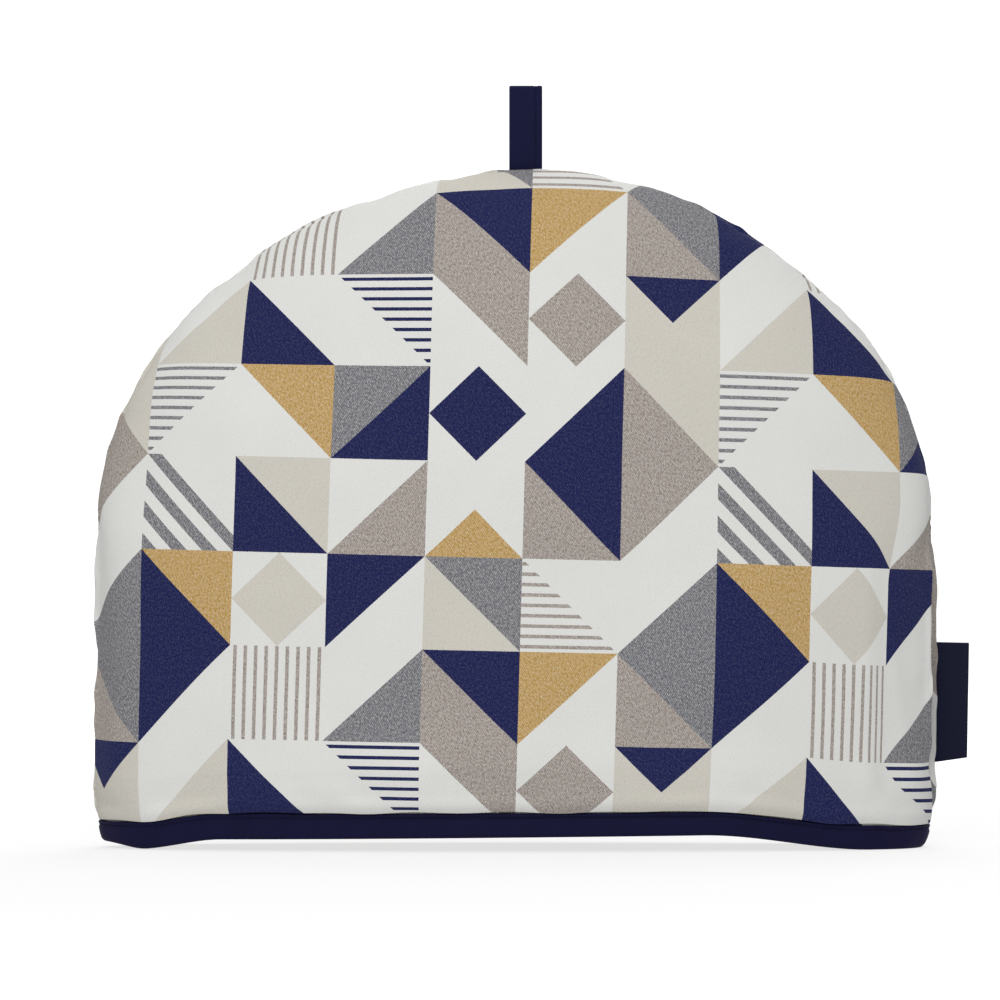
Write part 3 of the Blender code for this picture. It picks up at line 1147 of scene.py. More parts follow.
@dataclass
class PaddedPanel:
    """One padded panel: its printed outer face, its plain inner face and the sewn edge between them."""

    form: ShellForm
    side: Side
    material: Material
    seed: int
    cloth_shift: tuple[float, float] = (0.0, 0.0)
    columns: int = 232
    hem_rows: int = 35
    dome_rows: int = 120
    arc_steps: int = 40  # in which the length over the face is measured
    cloth_run: ClothRun = ClothRun()
    hem_hold: float = 0.2 * MM  # how far above the binding the simulated face is still held
    bulge_cells: float = 7.0  # what is broader than this in the simulated cloth is taken off again
    noise_cells: float = 1.1
    crease_border: float = 2.0  # how many cells from the seam the creases reach their full depth
    crease_gain: float = 0.6
    crease_rise: float = 0.8 * MM
    crease_depth: float = 1.6 * MM
    crease_blend: float = 1.6  # how many cells of the full grid the creases are eased over
    seam_puckers: PuckerRow = PuckerRow(
        pitch=17.0, depth=0.65, spacing=(0.55, 1.5), width=(2.2, 4.6), widening=16, slant=0.35,
        reach=(7, 26), share=(0.35, 1.25),
    )
    hem_puckers: PuckerRow = PuckerRow(
        pitch=15.0, depth=1.15, spacing=(0.5, 1.5), width=(3.0, 6.5), widening=14, slant=0.4,
        reach=(8, 20), share=(0.3, 1.2),
    )
    pucker_from: float = 3 * MM
    free_between: Span = (1.5 * MM, 7 * MM)
    swell_depth: float = 0.7 * MM  # of all the broad waves over the face together
    swell_waves: int = 7
    swell_parts: float = 2.6  # how many times one wave's depth they come to
    swell_lengths: Span = (55, 130)  # mm
    swell_border: Span = (4 * MM, 30 * MM)
    print_level: float = 95 * MM  # the height at which the print's rows run level
    sag: float = 2.1 * MM
    sag_reach: float = 13.0 * MM
    sag_clear: float = 0.9 * MM
    sag_waver: float = 0.45
    waver_seed: int = 50
    waver_waves: int = 6
    waver_counts: Span = (8, 40)
    roll_under: float = 2.6 * MM  # how far the wadding swells out above the binding
    roll_height: float = 9.0 * MM  # where it is fullest, above the binding
    roll_end: float = 38.0 * MM
    loop_x: float = 4.4 * MM
    loop_half: float = 6.6 * MM
    loop_clear: Span = (0.4 * MM, 5 * MM)
    loop_parting: float = 1.7 * MM
    parting_rise: Span = (100 * MM, 130 * MM)
    parting_depth: float = 7 * MM

    def free_of_hem(self, above: Array) -> Array:
        """How freely the face may move at each height above the binding, from 0 on its edge to 1."""
        return ease(above, *self.free_between)

    def relaxed(self, outer: Array, normal: Array) -> Array:
        """The creases of the sewn outer face, from Blender's cloth.

        The simulated face is every second point of the grid. Its broad bulge is taken off again, because
        the panel's pattern already has it, and the creases that are left are capped and spread back over
        the whole grid.

        Args:
            outer: The even face's points.
            normal: Its outward normals.

        Returns:
            How far each point moves along its normal.
        """
        coarse, out = outer[::2, ::2], normal[::2, ::2]
        rows, columns = coarse.shape[:2]
        held = coarse[..., 2] < self.form.bound + self.hem_hold
        held[:, [0, -1]] = True
        held[-1] = True
        after = self.cloth_run.relax(coarse, held, -self.side.value)
        moved = ((after - coarse) * out).sum(-1)
        creases = blurred(moved, self.noise_cells) - blurred(moved, self.bulge_cells)
        from_sides = np.minimum(np.arange(columns), np.arange(columns)[::-1])
        from_ends = np.minimum(np.arange(rows)[::-1], np.maximum(0, np.arange(rows) - 1))
        creases *= np.clip(np.minimum(from_sides[None, :], from_ends[:, None]) / self.crease_border, 0, 1)
        log.info("%s: creases %.2f mm deep at 98 %%", self.side.name, np.percentile(np.abs(creases), 98) / MM)
        creases *= self.free_of_hem(coarse[..., 2] - self.form.bound)
        cap = np.where(creases > 0, self.crease_rise, self.crease_depth)
        creases = cap * np.tanh(creases * self.crease_gain / cap)
        return blurred(enlarged(creases, outer.shape[0], outer.shape[1]), self.crease_blend)

    @property
    def rows(self) -> int:
        """Rows of quads up the panel."""
        return 1 + self.hem_rows + self.dome_rows

    def grid(self, inside: bool) -> tuple[Array, Array, Array]:
        """The even grid of the inner or the outer face.

        Args:
            inside: Whether it is the inner face.

        Returns:
            For each point, its share of the half width, its height, and whether it is on the seam.
        """
        form = self.form
        angle = math.pi / 2 * np.linspace(-1, 1, self.columns + 1)
        rise = form.rise - (form.allowance if inside else 0)
        top = form.shoulder + rise * np.cos(angle)
        full = form.bound + form.swell
        swell = form.bound + form.swell * (1 - np.cos(math.pi / 2 * np.linspace(0, 1, self.hem_rows + 1)))
        up = np.sin(math.pi / 2 * np.linspace(0, 1, self.dome_rows + 1))[1:]
        low = np.concatenate([[form.panel_edge], swell])[:, None] + 0 * top[None, :]
        high = full + (top[None, :] - full) * up[:, None]
        z = np.concatenate([low, high])
        t = np.sin(angle)[None, :] + 0 * z
        seam = np.zeros(z.shape, bool)
        seam[:, [0, -1]] = True
        seam[-1] = True
        return t, z, seam

    def parting(self, x: Array, z: Array) -> Array:
        """How far the panel's edge stands off the seam's plane where the loop's tails lie between the two.

        Args:
            x: Places across the shell from its middle.
            z: Heights.

        Returns:
            The distance at each point.
        """
        shoulder, half = self.form.shoulder, self.loop_half
        near = 1 - ease(np.abs(x - self.loop_x), *(half + clear for clear in self.loop_clear))
        return self.loop_parting * near * ease(z, *(shoulder + rise for rise in self.parting_rise))

    def sagged(self, t: Array, z: Array) -> Array:
        """How far the outer face sinks to lie on the binding's edge and bulge a little way over it.

        Args:
            t: Shares of the half width.
            z: Heights.

        Returns:
            The drop of each point.
        """
        form = self.form
        above = np.maximum(0, z - form.bound)
        past = form.hem_drawn * (1 - form.pressed(z)) - form.binding_cloth - GAP
        fading = 1 - ease(above, 0, self.sag_reach)
        clear = ease(past, GAP, self.sag_clear) * fading
        rng = random.Random(self.seed + self.waver_seed)
        waver = 0 * t
        for _ in range(self.waver_waves):
            waves, phase = rng.uniform(*self.waver_counts), rng.uniform(0, TURN)
            waver += np.sin(waves * t + phase) / self.waver_waves
        to_binding = form.binding_slant * (1 + t) * ease(z, form.panel_edge, form.bound)
        return to_binding * fading + self.sag * clear * (1 + self.sag_waver * waver)

    def swollen(self, z: Array) -> Array:
        """How far the wadding swells the outer face out above the binding.

        Args:
            z: Heights.

        Returns:
            The distance at each height.
        """
        above = np.maximum(0, z - self.form.bound)
        swell = np.sin(math.pi / 2 * np.minimum(1, above / self.roll_height))
        return self.roll_under * swell * (1 - ease(above, self.roll_height, self.roll_end))

    def face(self, inside: bool) -> Array:
        """The points of one face before its puckers.

        Args:
            inside: Whether it is the inner face.

        Returns:
            The points as a grid.
        """
        form, sign = self.form, self.side.value
        t, z, seam = self.grid(inside)
        press = form.pressed(z)
        half_width = form.half_width - form.hem_drawn_sides * press
        depth = form.body_depth(z) - form.hem_drawn * press
        rise = form.rise
        if inside:
            half_width = half_width - form.allowance - (form.pressed_wall - form.allowance) * press
            depth = depth - form.wall - (form.pressed_wall - form.wall) * press
            rise = rise - form.allowance
        else:
            depth = depth + self.swollen(z)
        climb = np.maximum(0, z - form.shoulder) / rise
        radius = np.where(seam, 1, np.hypot(t, climb))
        x = half_width * t
        y = depth * form.fullness(radius)
        if not inside:
            drawn = form.seam_drawn * np.exp(-((y / form.groove_reach) ** 2)) * (1 - press)
            out_x, out_z = t / half_width, climb / rise
            length = np.hypot(out_x, out_z) + 1e-9
            x = x - drawn * out_x / length
            z = z - drawn * out_z / length - self.sagged(t, z)
        y = y + GAP / 2 + self.parting(x, z) * np.exp(-((y / self.parting_depth) ** 2))
        return np.stack([x, sign * y, z], axis=-1)

    def seam_run(self, points: Array) -> tuple[Array, Array]:
        """Where points lie along the seam and how far from it.

        Args:
            points: The even face's points.

        Returns:
            The place along the seam from the crown, and the distance from it over the cloth.
        """
        form = self.form
        x, y, z = np.moveaxis(points, -1, 0)
        above = np.maximum(0, z - form.shoulder)
        bearing = np.arctan2(x, above * form.half_width / form.rise)
        along = bearing * form.mean_radius + np.sign(x) * np.maximum(0, form.shoulder - z)
        radius = np.hypot(x / form.half_width, above / form.rise)
        return along, np.hypot((1 - np.minimum(radius, 1)) * form.mean_radius, y)

    def puckers(self, points: Array) -> Array:
        """How far each point of the outer face is drawn in by the stitching and by the cloth's slackness.

        Args:
            points: The even face's points.

        Returns:
            Depths along the inward normal.
        """
        form, rng = self.form, random.Random(self.seed)
        along, away = self.seam_run(points)
        x, _, z = np.moveaxis(points, -1, 0)
        above = np.maximum(0, z - form.bound)
        free = self.free_of_hem(above)
        half_run = form.mean_radius * math.pi / 2 + form.shoulder
        drawn = self.seam_puckers.drawn(rng, (-half_run, half_run), along, away)
        drawn *= free * ease(away, 0, self.pucker_from)
        drawn += free * self.hem_puckers.drawn(rng, (-form.half_width, form.half_width), x, above)
        start, end = self.swell_border
        inner = ease(away, start, end) * ease(z, form.bound + start, form.bound + end)
        for _ in range(self.swell_waves):
            heading, wave = rng.uniform(0, math.pi), rng.uniform(*self.swell_lengths) * MM
            phase = rng.uniform(0, TURN)
            run = x * math.cos(heading) + z * math.sin(heading)
            drawn += inner * self.swell_depth / self.swell_parts * np.sin(TURN * run / wave + phase)
        return drawn

    def flat_cloth(self, points: Array) -> Array:
        """The place of each outer point on the flat cloth, measured over the curved face from its middle.

        Args:
            points: The even face's points.

        Returns:
            Across and up, in metres, as a grid.
        """
        form = self.form
        t, z, seam = self.grid(False)
        climb = np.minimum(1, np.maximum(0, z - form.shoulder) / form.rise)
        reach = form.half_width * np.sqrt(1 - climb**2) + 1e-6
        end = np.arcsin(np.clip(t * form.half_width / reach, -1, 1))
        end = np.where(seam, np.sign(t) * math.pi / 2, end)
        turn = end[..., None] * np.linspace(0, 1, self.arc_steps)
        line_x = reach[..., None] * np.sin(turn)
        line_y = form.depth(line_x / form.half_width, z[..., None] + 0 * turn)
        across = np.hypot(np.diff(line_x), np.diff(line_y)).sum(-1) * np.sign(t)
        up = lengths_along(points, 0)
        level = np.array([np.interp(self.print_level, z[:, c], up[:, c]) for c in range(z.shape[1])])
        up = up - level[None, :] + self.print_level
        return np.stack([across + self.cloth_shift[0], up + self.cloth_shift[1]], axis=-1)

    def build(self) -> Object:
        """Makes the panel.

        Returns:
            The dressed piece.
        """
        outer = self.face(False)
        inner = self.face(True)
        cloth = self.flat_cloth(outer)
        normal = np.cross(np.gradient(outer, axis=1), np.gradient(outer, axis=0))
        normal /= np.linalg.norm(normal, axis=-1, keepdims=True) + 1e-12
        normal *= self.side.value * np.sign(normal[..., 1:2] + 1e-12)
        outer = outer + normal * (self.relaxed(outer, normal) - self.puckers(outer))[..., None]
        outer[..., 1] = self.side.value * np.maximum(self.side.value * outer[..., 1], GAP / 2)
        count = outer[..., 0].size
        points = np.concatenate([outer.reshape(-1, 3), inner.reshape(-1, 3)])
        points = self.form.settle(*points.T)
        faces = grid_faces(self.columns, self.rows) + grid_faces(self.columns, self.rows, count)
        outer_rim, inner_rim = (grid_rim(self.columns, self.rows, start) for start in (0, count))
        for here in range(len(outer_rim)):
            there = (here + 1) % len(outer_rim)
            faces.append((outer_rim[here], outer_rim[there], inner_rim[there], inner_rim[here]))
        flat = np.concatenate([cloth.reshape(-1, 2)] * 2)
        name = f"{self.side.name.lower()}_panel"
        piece = mesh_piece(f"{name}_cloth", points, faces, flat, self.material)
        mark = piece.data.attributes.new(LINING_MARK, "FLOAT", "POINT")
        mark.data.foreach_set("value", np.repeat([0.0, 1.0], count).astype(np.float32))
        return dress(piece, "printed_twill", name)


# -------------------- stitches


@dataclass
class StitchRow:
    """A row of lockstitch that follows a line, made by Geometry Nodes."""

    name: str
    thread: Material
    pitch: float
    length: float
    radius: float = 0.16 * MM
    bead_sides: int = 6
    bead_rings: int = 5

    def tree(self) -> bpy.types.NodeTree:
        """The node tree that lays a stitch at every pitch along a curve.

        Returns:
            The tree, with Pitch, Length, Radius and Thread as inputs.
        """
        tree = bpy.data.node_groups.new("Stitches", "GeometryNodeTree")
        sockets = {"Geometry": "Geometry", "Pitch": "Float", "Length": "Float", "Radius": "Float",
                   "Thread": "Material"}
        for name, kind in sockets.items():
            tree.interface.new_socket(name, in_out="INPUT", socket_type=f"NodeSocket{kind}")
        tree.interface.new_socket("Geometry", in_out="OUTPUT", socket_type="NodeSocketGeometry")

        given, result = tree.nodes.new("NodeGroupInput"), tree.nodes.new("NodeGroupOutput")
        points = tree.nodes.new("GeometryNodeCurveToPoints")
        points.mode = "LENGTH"
        bead = tree.nodes.new("GeometryNodeMeshUVSphere")
        for name, value in (("Segments", self.bead_sides), ("Rings", self.bead_rings), ("Radius", 1.0)):
            bead.inputs[name].default_value = value
        scale = tree.nodes.new("ShaderNodeCombineXYZ")
        halve = tree.nodes.new("ShaderNodeMath")
        halve.operation = "MULTIPLY"
        halve.inputs[1].default_value = 0.5
        shape = tree.nodes.new("GeometryNodeTransform")
        spread = tree.nodes.new("GeometryNodeInstanceOnPoints")
        real = tree.nodes.new("GeometryNodeRealizeInstances")
        smooth = tree.nodes.new("GeometryNodeSetShadeSmooth")
        paint = tree.nodes.new("GeometryNodeSetMaterial")
        for start, end in (
            (given.outputs["Geometry"], points.inputs["Curve"]),
            (given.outputs["Pitch"], points.inputs["Length"]),
            (given.outputs["Length"], halve.inputs[0]),
            (given.outputs["Radius"], scale.inputs[0]),
            (given.outputs["Radius"], scale.inputs[1]),
            (halve.outputs[0], scale.inputs[2]),
            (bead.outputs["Mesh"], shape.inputs["Geometry"]),
            (scale.outputs[0], shape.inputs["Scale"]),
            (points.outputs["Points"], spread.inputs["Points"]),
            (points.outputs["Rotation"], spread.inputs["Rotation"]),
            (shape.outputs["Geometry"], spread.inputs["Instance"]),
            (spread.outputs["Instances"], smooth.inputs["Geometry"]),
            (smooth.outputs["Geometry"], real.inputs["Geometry"]),
            (real.outputs["Geometry"], paint.inputs["Geometry"]),
            (given.outputs["Thread"], paint.inputs["Material"]),
            (paint.outputs["Geometry"], result.inputs["Geometry"]),
        ):
            tree.links.new(start, end)
        return tree

    def build(self, line: Array, closed: bool = False) -> Object:
        """Makes the row.

        Args:
            line: The points that it follows.
            closed: Whether the line meets its own start.

        Returns:
            The stitches as one plain mesh object.
        """
        curve = bpy.data.curves.new(self.name, "CURVE")
        curve.dimensions = "3D"
        spline = curve.splines.new("POLY")
        spline.points.add(len(line) - 1)
        spline.points.foreach_set("co", np.column_stack([line, np.ones(len(line))]).ravel())
        spline.use_cyclic_u = closed
        guide = add_object(f"{self.name}_line", curve)
        tree = self.tree()
        nodes = guide.modifiers.new("Stitches", "NODES")
        nodes.node_group = tree
        values = {"Pitch": self.pitch, "Length": self.length, "Radius": self.radius, "Thread": self.thread}
        for item in tree.interface.items_tree:
            if item.in_out == "INPUT" and item.name in values:
                nodes[item.identifier] = values[item.name]
        graph = bpy.context.evaluated_depsgraph_get()
        mesh = bpy.data.meshes.new_from_object(guide.evaluated_get(graph))
        mesh.name = self.name
        row = add_object(self.name, mesh)
        guide.modifiers.remove(nodes)
        bpy.data.objects.remove(guide)
        return row


# -------------------- binding


@dataclass
class BoundHem:
    """The bias strip folded over the hem, with the line of stitching sunk just below its upper edge."""

    form: ShellForm
    cloth: Material
    thread: Material
    around: int = 560
    leg_steps: int = 22
    fold_steps: int = 6
    puff: float = 0.45 * MM
    ditch_below_top: float = 1.9 * MM
    ditch_half: float = 0.55 * MM
    ditch_depth: float = 0.55 * MM
    fold_round: float = 1.5 * MM
    edge_round: float = 0.5 * MM
    ripples: int = 9
    ripple_waves: tuple[int, int] = (9, 34)
    ripple_height: float = 0.09 * MM
    ripple_lift: float = 0.5  # how much of a ripple also moves the upper edge up
    ripple_rise: Span = (0.3, 1.0)
    stitch_pitch: float = 2.9 * MM
    stitch_length: float = 2.3 * MM
    stitch_sunk: float = 0.55  # how deep the stitches lie, as a share of the ditch
    stitch_puff: float = 0.5  # how far the leg swells there, as a share of its puff
    seed: int = 11

    @property
    def thickness(self) -> float:
        """From the outer leg's outer face to the inner leg's inner face."""
        return 2 * (self.form.binding_cloth + GAP) + self.form.pressed_wall

    def leg_face(self) -> list[tuple[float, float]]:
        """The outer leg's outer face, from the fold up.

        Returns:
            Its points, as (distance in, share of the leg's height).
        """
        height = self.form.binding_height
        face = []
        for step in range(self.leg_steps + 1):
            share = (1 - math.cos(math.pi * step / self.leg_steps)) / 2
            above = self.fold_round + (height - self.fold_round - self.edge_round) * share
            ditch = math.exp(-(((height - self.ditch_below_top - above) / self.ditch_half) ** 2))
            inward = -self.puff * math.sin(math.pi * min(1.0, above / height)) + self.ditch_depth * ditch
            face.append((inward, above / height))
        return face

    def section(self) -> list[tuple[float, float]]:
        """The strip's section, once round.

        Returns:
            Its points, as (distance in from the outer face, share of the leg's height).
        """
        cloth, thick, height = self.form.binding_cloth, self.thickness, self.form.binding_height
        rounded = self.fold_round
        outer = self.leg_face()
        # The leg's rounded upper edge, and its inner side down to the pressed panels and up again.
        top = [(self.edge_round * 0.4, 0.99), (cloth * 0.5, 1.0), (cloth, 0.985)]
        floor = cloth / height
        inside = [(cloth, 0.6), (cloth, floor), (thick - cloth, floor), (thick - cloth, 0.6)]
        mirror = [(thick - inward, share) for inward, share in reversed(top)]
        down = [(thick - inward, share) for inward, share in reversed(outer)]
        fold = []
        for step in range(1, self.fold_steps + 1):
            turn = math.pi / 2 * step / self.fold_steps
            fold.append((thick - rounded * (1 - math.cos(turn)), rounded * (1 - math.sin(turn)) / height))
        unfold = [(thick - inward, share) for inward, share in reversed(fold)]
        return outer + top + inside + mirror + down + fold + [(thick / 2, 0.0)] + unfold

    def ring(self, inward: Array, share: Array) -> Array:
        """Carries a section round the mouth.

        Args:
            inward: The section's distances in from the outer face.
            share: Its shares of the leg's height.

        Returns:
            The points, one row of the section for each step round.
        """
        form = self.form
        turn = TURN * np.arange(self.around)[:, None] / self.around
        t, side = -np.cos(turn), -np.sign(np.sin(turn) + 1e-12)
        x = (form.half_width - form.hem_drawn_sides + form.binding_cloth + GAP - inward[None, :]) * t
        depth = form.belly - form.hem_drawn + form.binding_cloth + GAP - inward[None, :]
        y = side * depth * form.fullness(np.abs(t))
        leg = form.binding_height - form.binding_slant * t
        z = share[None, :] * leg + 0 * x
        rng = random.Random(self.seed)
        for _ in range(self.ripples):
            waves, phase = rng.randint(*self.ripple_waves), rng.uniform(0, TURN)
            ripple = self.ripple_height * np.sin(waves * turn + phase)
            y = y + side * ripple * np.sin(math.pi * np.clip(share[None, :], 0, 1))
            z = z + self.ripple_lift * ripple * ease(share[None, :], *self.ripple_rise)
        return form.settle(x, y, z)

    def build(self) -> list[Object]:
        """Makes the strip and its stitches.

        Returns:
            The dressed pieces.
        """
        inward, share = np.array(self.section()).T
        points = self.ring(inward, share)
        faces = ring_faces(self.around, len(inward), joined=True)
        lengths = lengths_along(np.concatenate([points, points[:1]]), 0)
        loop = np.concatenate([points, points[:, :1]], axis=1)
        across = lengths_along(loop, 1)[:, :-1]
        middle = lengths[:-1, :1] + 0 * across
        flat = np.stack([middle, across], axis=-1).reshape(-1, 2)
        strip = mesh_piece("bias_strip", points.reshape(-1, 3), faces, flat, self.cloth)

        height = self.form.binding_height
        sunk = np.array([self.ditch_depth * self.stitch_sunk - self.puff * self.stitch_puff])
        line = self.ring(sunk, np.array([(height - self.ditch_below_top) / height]))[:, 0]
        row = StitchRow("bias_stitches", self.thread, self.stitch_pitch, self.stitch_length)
        stitches = row.build(line, True)
        return [dress(strip, "navy_bias", "hem_binding"), dress(stitches, "navy_bias")]


# -------------------- tapes


@dataclass
class Tape:
    """A woven strip that follows a path, with stitched grooves along it."""

    name: str
    width: float
    thickness: float
    groove_at: tuple[float, ...] = ()
    groove_depth: float = 0.25 * MM
    groove_half: float = 0.5 * MM
    across: int = 30

    def section(self) -> list[tuple[float, float]]:
        """The strip's section, once round.

        Returns:
            Its points, as (across, out).
        """
        half, thick = self.width / 2, self.thickness / 2
        upper = []
        for step in range(self.across + 1):
            place = -half * math.cos(math.pi * step / self.across)
            edge = math.sqrt(max(0.0, 1 - max(0.0, (abs(place) - half + thick) / thick) ** 2))
            sunk = sum(math.exp(-(((place - at) / self.groove_half) ** 2)) for at in self.groove_at)
            upper.append((place, thick * edge - self.groove_depth * sunk * edge))
        lower = [(place, -out) for place, out in reversed(upper[1:-1])]
        return upper + lower

    def build(
        self, path: Array, place: Matrix, material: Material, skew: float = 0.0
    ) -> Object:
        """Makes the strip.

        Args:
            path: Its centre line, as X and Y of its own place. Its width runs along Z.
            place: Where its own axes go.
            material: Its material.
            skew: How much lower its lower edge is at the path's ends than at its far reach.

        Returns:
            The strip as a closed mesh.
        """
        section = np.array(self.section())
        reach = path[:, 0].max()
        points = []
        for centre, normal in zip(path, outward(path)):
            flat = centre + section[:, 1:] * normal
            low = np.clip(0.5 - section[:, 0] / self.width, 0, 1)
            drop = skew * low * np.clip(1 - centre[0] / reach, 0, 1)
            points.append(np.column_stack([flat, section[:, 0] - drop]))
        grid = np.array(points)
        count, wide = grid.shape[:2]
        faces = ring_faces(count, wide)
        faces.append(tuple(range(wide)))
        faces.append(tuple(range((count - 1) * wide, count * wide)))
        run = lengths_along(path, 0)
        cloth = np.stack([run[:, None] + 0 * grid[..., 0], section[None, :, 0] + 0 * grid[..., 0]], axis=-1)
        world = placed(grid.reshape(-1, 3), place)
        return mesh_piece(self.name, world, faces, cloth.reshape(-1, 2), material)


@dataclass
class HangingLoop:
    """The tape folded in half whose two tails are caught side by side in the seam at the crown."""

    form: ShellForm
    cloth: Material
    thread: Material
    x: float = 4.4 * MM
    width: float = 13.2 * MM
    thickness: float = 1.15 * MM
    ply: float = 1.3 * MM  # the room that one layer takes
    proud: float = 34.8 * MM
    tail: float = 5.0 * MM
    half_opening: float = 4.0 * MM
    pinch: float = 0.35  # how far it is already open where it leaves the seam
    steps: int = 110
    stitch_at: float = 3.9 * MM
    stitch_sunk: float = 0.12 * MM
    stitch_pitch: float = 2.4 * MM
    stitch_length: float = 1.9 * MM
    unsewn: int = 3  # points of the path at each end that the stitching leaves out

    def path(self) -> Array:
        """The centre line as (back, up) from the crown of the seam.

        Returns:
            Its points.
        """
        closed = (self.ply + GAP) / 2
        bow_half = self.half_opening + self.ply / 2
        top = self.proud - self.ply / 2
        points = [(-closed, -self.tail), (-closed, -self.tail / 2)]
        for step in range(self.steps + 1):
            turn = TURN * step / self.steps
            up = (1 - math.cos(turn)) / 2
            bow = math.sin(turn) * (self.pinch + (1 - self.pinch) * up)
            spread = closed * (1 - up) * (1 if step <= self.steps / 2 else -1)
            points.append((-spread - bow_half * bow, top * up))
        points += [(closed, -self.tail / 2), (closed, -self.tail)]
        return np.array(points)

    def place(self) -> Matrix:
        """Where the loop leaves the seam.

        Returns:
            Its own axes: X is back, Y up and Z across.
        """
        form = self.form
        t = self.x / form.half_width
        seat = form.settle_one(self.x, 0, form.shoulder + form.rise * math.sqrt(1 - t * t) - form.seam_drawn)
        return Matrix.Translation(seat) @ Matrix(((0, 0, 1), (1, 0, 0), (0, 1, 0))).to_4x4()

    def build(self) -> list[Object]:
        """Makes the loop and its stitches.

        Returns:
            The dressed pieces.
        """
        path, place = self.path(), self.place()
        loop = Tape("loop_tape", self.width, self.thickness, (self.stitch_at,)).build(path, place, self.cloth)
        surface = path + outward(path) * (self.thickness / 2 - self.stitch_sunk)
        line = np.column_stack([surface, np.full(len(path), self.stitch_at)])[self.unsewn : -self.unsewn]
        row = StitchRow("loop_stitches", self.thread, self.stitch_pitch, self.stitch_length)
        stitches = row.build(placed(line, place))
        return [dress(loop, "navy_tape", "hanging_loop"), dress(stitches, "navy_tape")]


@dataclass
class SideTab:
    """The bare woven strip folded in half, whose fold stands out from the back panel's rounded edge."""

    form: ShellForm
    cloth: Material
    low: float = 36.0 * MM
    height: float = 46.0 * MM
    behind: float = 5.5 * MM
    thickness: float = 0.7 * MM
    tail: float = 2.5 * MM
    askew: float = 2.0 * MM
    lean: float = math.radians(1.0)
    leg_steps: int = 14
    fold_steps: int = 13
    across_steps: int = 40

    def path(self) -> Array:
        """The centre line as (out, back): out along the front layer, round the fold and back.

        Returns:
            Its points.
        """
        half = (self.thickness + GAP) / 2
        fold = self.form.tab_proud - self.thickness / 2 - half
        angles = np.linspace(0, math.pi, self.fold_steps)
        front = [(x, -half) for x in np.linspace(-self.tail, fold, self.leg_steps)[:-1]]
        turn = [(fold + half * math.sin(a), -half * math.cos(a)) for a in angles]
        back = [(x, half) for x in np.linspace(fold, -self.tail, self.leg_steps)[1:]]
        return np.array(front + turn + back)

    def place(self) -> Matrix:
        """Where the tab leaves the panel.

        Returns:
            Its own axes: X points out and Z up.
        """
        form, middle = self.form, self.low + self.height / 2
        edge = form.half_width * form.edge_radius(self.behind / float(form.body_depth(np.array(middle))))
        seat = Matrix.Translation(form.settle_one(edge, self.behind, middle))
        return seat @ Matrix.Rotation(-form.roll_angle, 4, "Z") @ Matrix.Rotation(self.lean, 4, "Y")

    def build(self) -> Object:
        """Makes the tab.

        Returns:
            The dressed piece.
        """
        path = self.path()
        tape = Tape("tab_strip", self.height, self.thickness, across=self.across_steps)
        tab = tape.build(path, self.place(), self.cloth, self.askew)
        return dress(tab, "navy_satin", "side_label")


# -------------------- studio


@dataclass(frozen=True)
class Softbox:
    """A soft rectangular light that faces the cosy: its place, its width and height, and its watts."""

    name: str
    place: tuple[float, float, float]
    size: tuple[float, float]
    power: float
    faces: tuple[float, float, float] = (0, 0, 0.12)

    def build(self) -> None:
        """Adds the light."""
        data = bpy.data.lights.new(self.name, "AREA")
        data.shape = "RECTANGLE"
        data.size, data.size_y = self.size
        data.energy = self.power
        lamp = add_object(self.name, data)
        lamp.location = self.place
        ahead = Vector(self.faces) - Vector(self.place)
        lamp.rotation_euler = ahead.to_track_quat("-Z", "Y").to_euler()


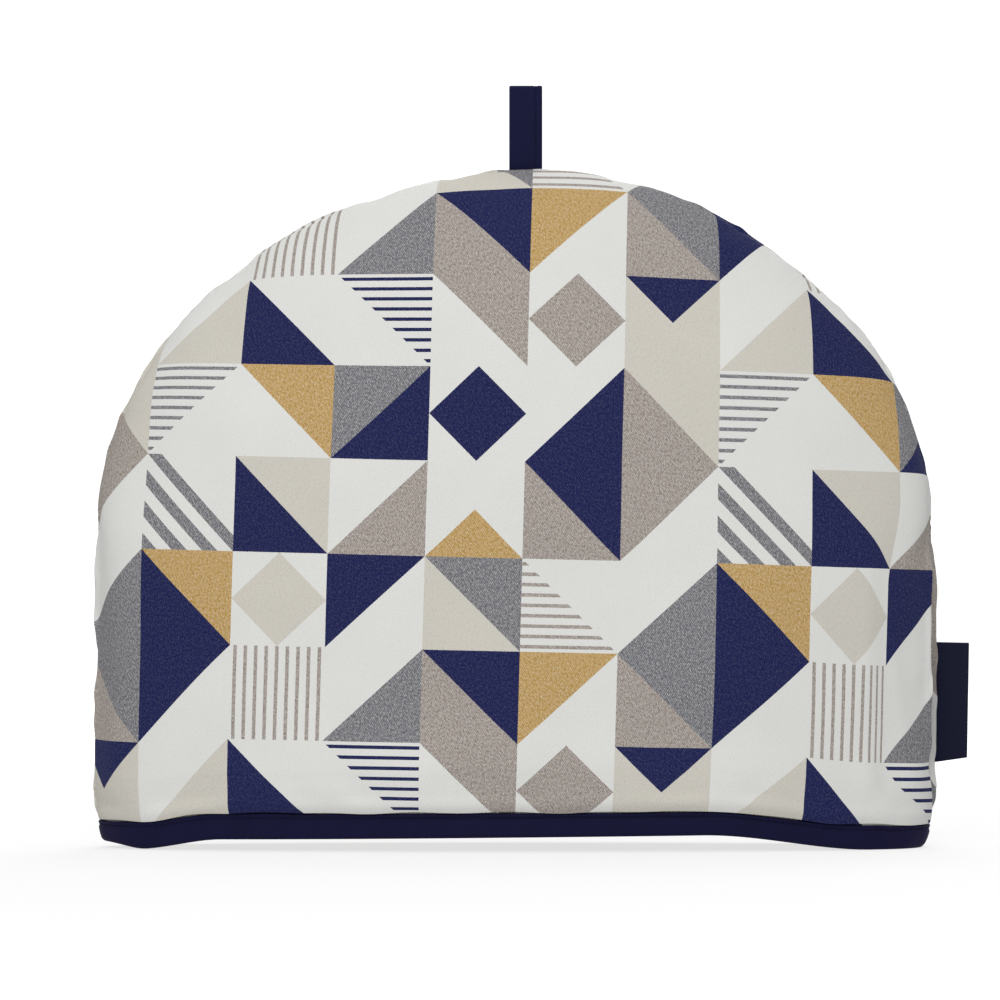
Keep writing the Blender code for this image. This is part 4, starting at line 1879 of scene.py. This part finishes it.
@dataclass
class Studio:
    """The white paper sweep, the soft lights and the camera."""

    view_width: float = 0.4  # across the cosy's middle plane
    aim: tuple[float, float] = (-12.05 * MM, 138.8 * MM)
    distance: float = 3.4
    sensor: float = 36.0  # mm
    view_depth: float = 20.0
    floor_radius: float = 1.1
    floor_glow: float = 0.70
    wall_glow: float = 1.0
    air_glow: float = 0.5
    sweep_radius: float = 5.0
    sweep_height: float = 4.5
    sweep_fold: float = 0.9
    sweep_steps: int = 96
    fold_steps: int = 12
    softboxes: tuple[Softbox, ...] = (
        Softbox("key_softbox", (-0.3, -2.5, 1.0), (1.2, 0.9), 33.0),
        Softbox("top_softbox", (0.1, 0.1, 2.0), (1.8, 1.8), 4.0),
        Softbox("back_softbox", (0.5, 2.6, 1.2), (1.2, 0.9), 24.0),
        Softbox("high_softbox", (0.1, 1.25, 1.7), (1.1, 0.8), 10.0),
    )

    def paper(self, name: str, profile: list[tuple[float, float]], glow: float) -> None:
        """Makes one ring of the paper round the cosy, which shows and takes shadows but throws no light back.

        Args:
            name: Its name.
            profile: Its radius and height from the middle out. A profile of one point makes a disc.
            glow: How brightly it is lit through.
        """
        steps = self.sweep_steps
        turns = [TURN * step / steps for step in range(steps)]
        points = [(r * math.cos(turn), r * math.sin(turn), height) for r, height in profile for turn in turns]
        faces = ring_faces(len(profile), steps) or [tuple(range(steps))]
        mesh = bpy.data.meshes.new(name)
        mesh.from_pydata(points, [], faces)
        mesh.shade_smooth()
        mesh.materials.append(LitPaper(name, glow).build())
        paper = add_object(name, mesh)
        paper.visible_diffuse = False
        paper.visible_shadow = False

    def sweep(self) -> None:
        """Makes the paper: a floor under the cosy and a wide bowl round it and the camera."""
        self.paper("paper_floor", [(self.floor_radius, 0.0)], self.floor_glow)
        wall = self.sweep_radius - self.sweep_fold
        profile = [(self.floor_radius, 0.0), (wall, 0.0)]
        for step in range(1, self.fold_steps + 1):
            turn = math.pi / 2 * step / self.fold_steps
            profile.append((wall + self.sweep_fold * math.sin(turn), self.sweep_fold * (1 - math.cos(turn))))
        profile.append((self.sweep_radius, self.sweep_height))
        self.paper("paper_wall", profile, self.wall_glow)

    def camera(self) -> None:
        """Adds the camera, level and square on to the front."""
        data = bpy.data.cameras.new("camera")
        data.sensor_width = self.sensor
        data.lens = data.sensor_width * self.distance / self.view_width
        data.clip_end = self.view_depth
        eye = add_object("camera", data)
        eye.location = (self.aim[0], -self.distance, self.aim[1])
        eye.rotation_euler = (math.pi / 2, 0, 0)
        bpy.context.scene.camera = eye

    def build(self) -> None:
        """Sets up the whole studio."""
        scene = bpy.context.scene
        scene.view_settings.view_transform = "Standard"
        world = bpy.data.worlds.new("studio_air")
        world.use_nodes = True
        air = world.node_tree.nodes["Background"].inputs
        air["Color"].default_value = (1, 1, 1, 1)
        air["Strength"].default_value = self.air_glow
        scene.world = world
        self.sweep()
        for softbox in self.softboxes:
            softbox.build()
        self.camera()


def main() -> None:
    """Builds the cosy and the studio round it."""
    logging.basicConfig(level=logging.INFO, format="%(name)s: %(message)s")
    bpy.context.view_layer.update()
    form = ShellForm()
    twill = PrintedTwill().build()
    thread = SewingThread("navy_thread", (15, 16, 38)).build()
    bias = DyedCotton("navy_bias", (20, 19, 50), bias=True).build()
    tape = DyedCotton("navy_tape", (20, 21, 53), thread=0.4, contrast=0.6).build()
    satin = WovenSatin().build()
    PaddedPanel(form, Side.FRONT, twill, seed=3).build()
    PaddedPanel(form, Side.BACK, twill, seed=8, cloth_shift=(0.093, 0.051)).build()
    BoundHem(form, bias, thread).build()
    HangingLoop(form, tape, thread).build()
    SideTab(form, satin).build()
    Studio().build()


if __name__ == "__main__":
    main()
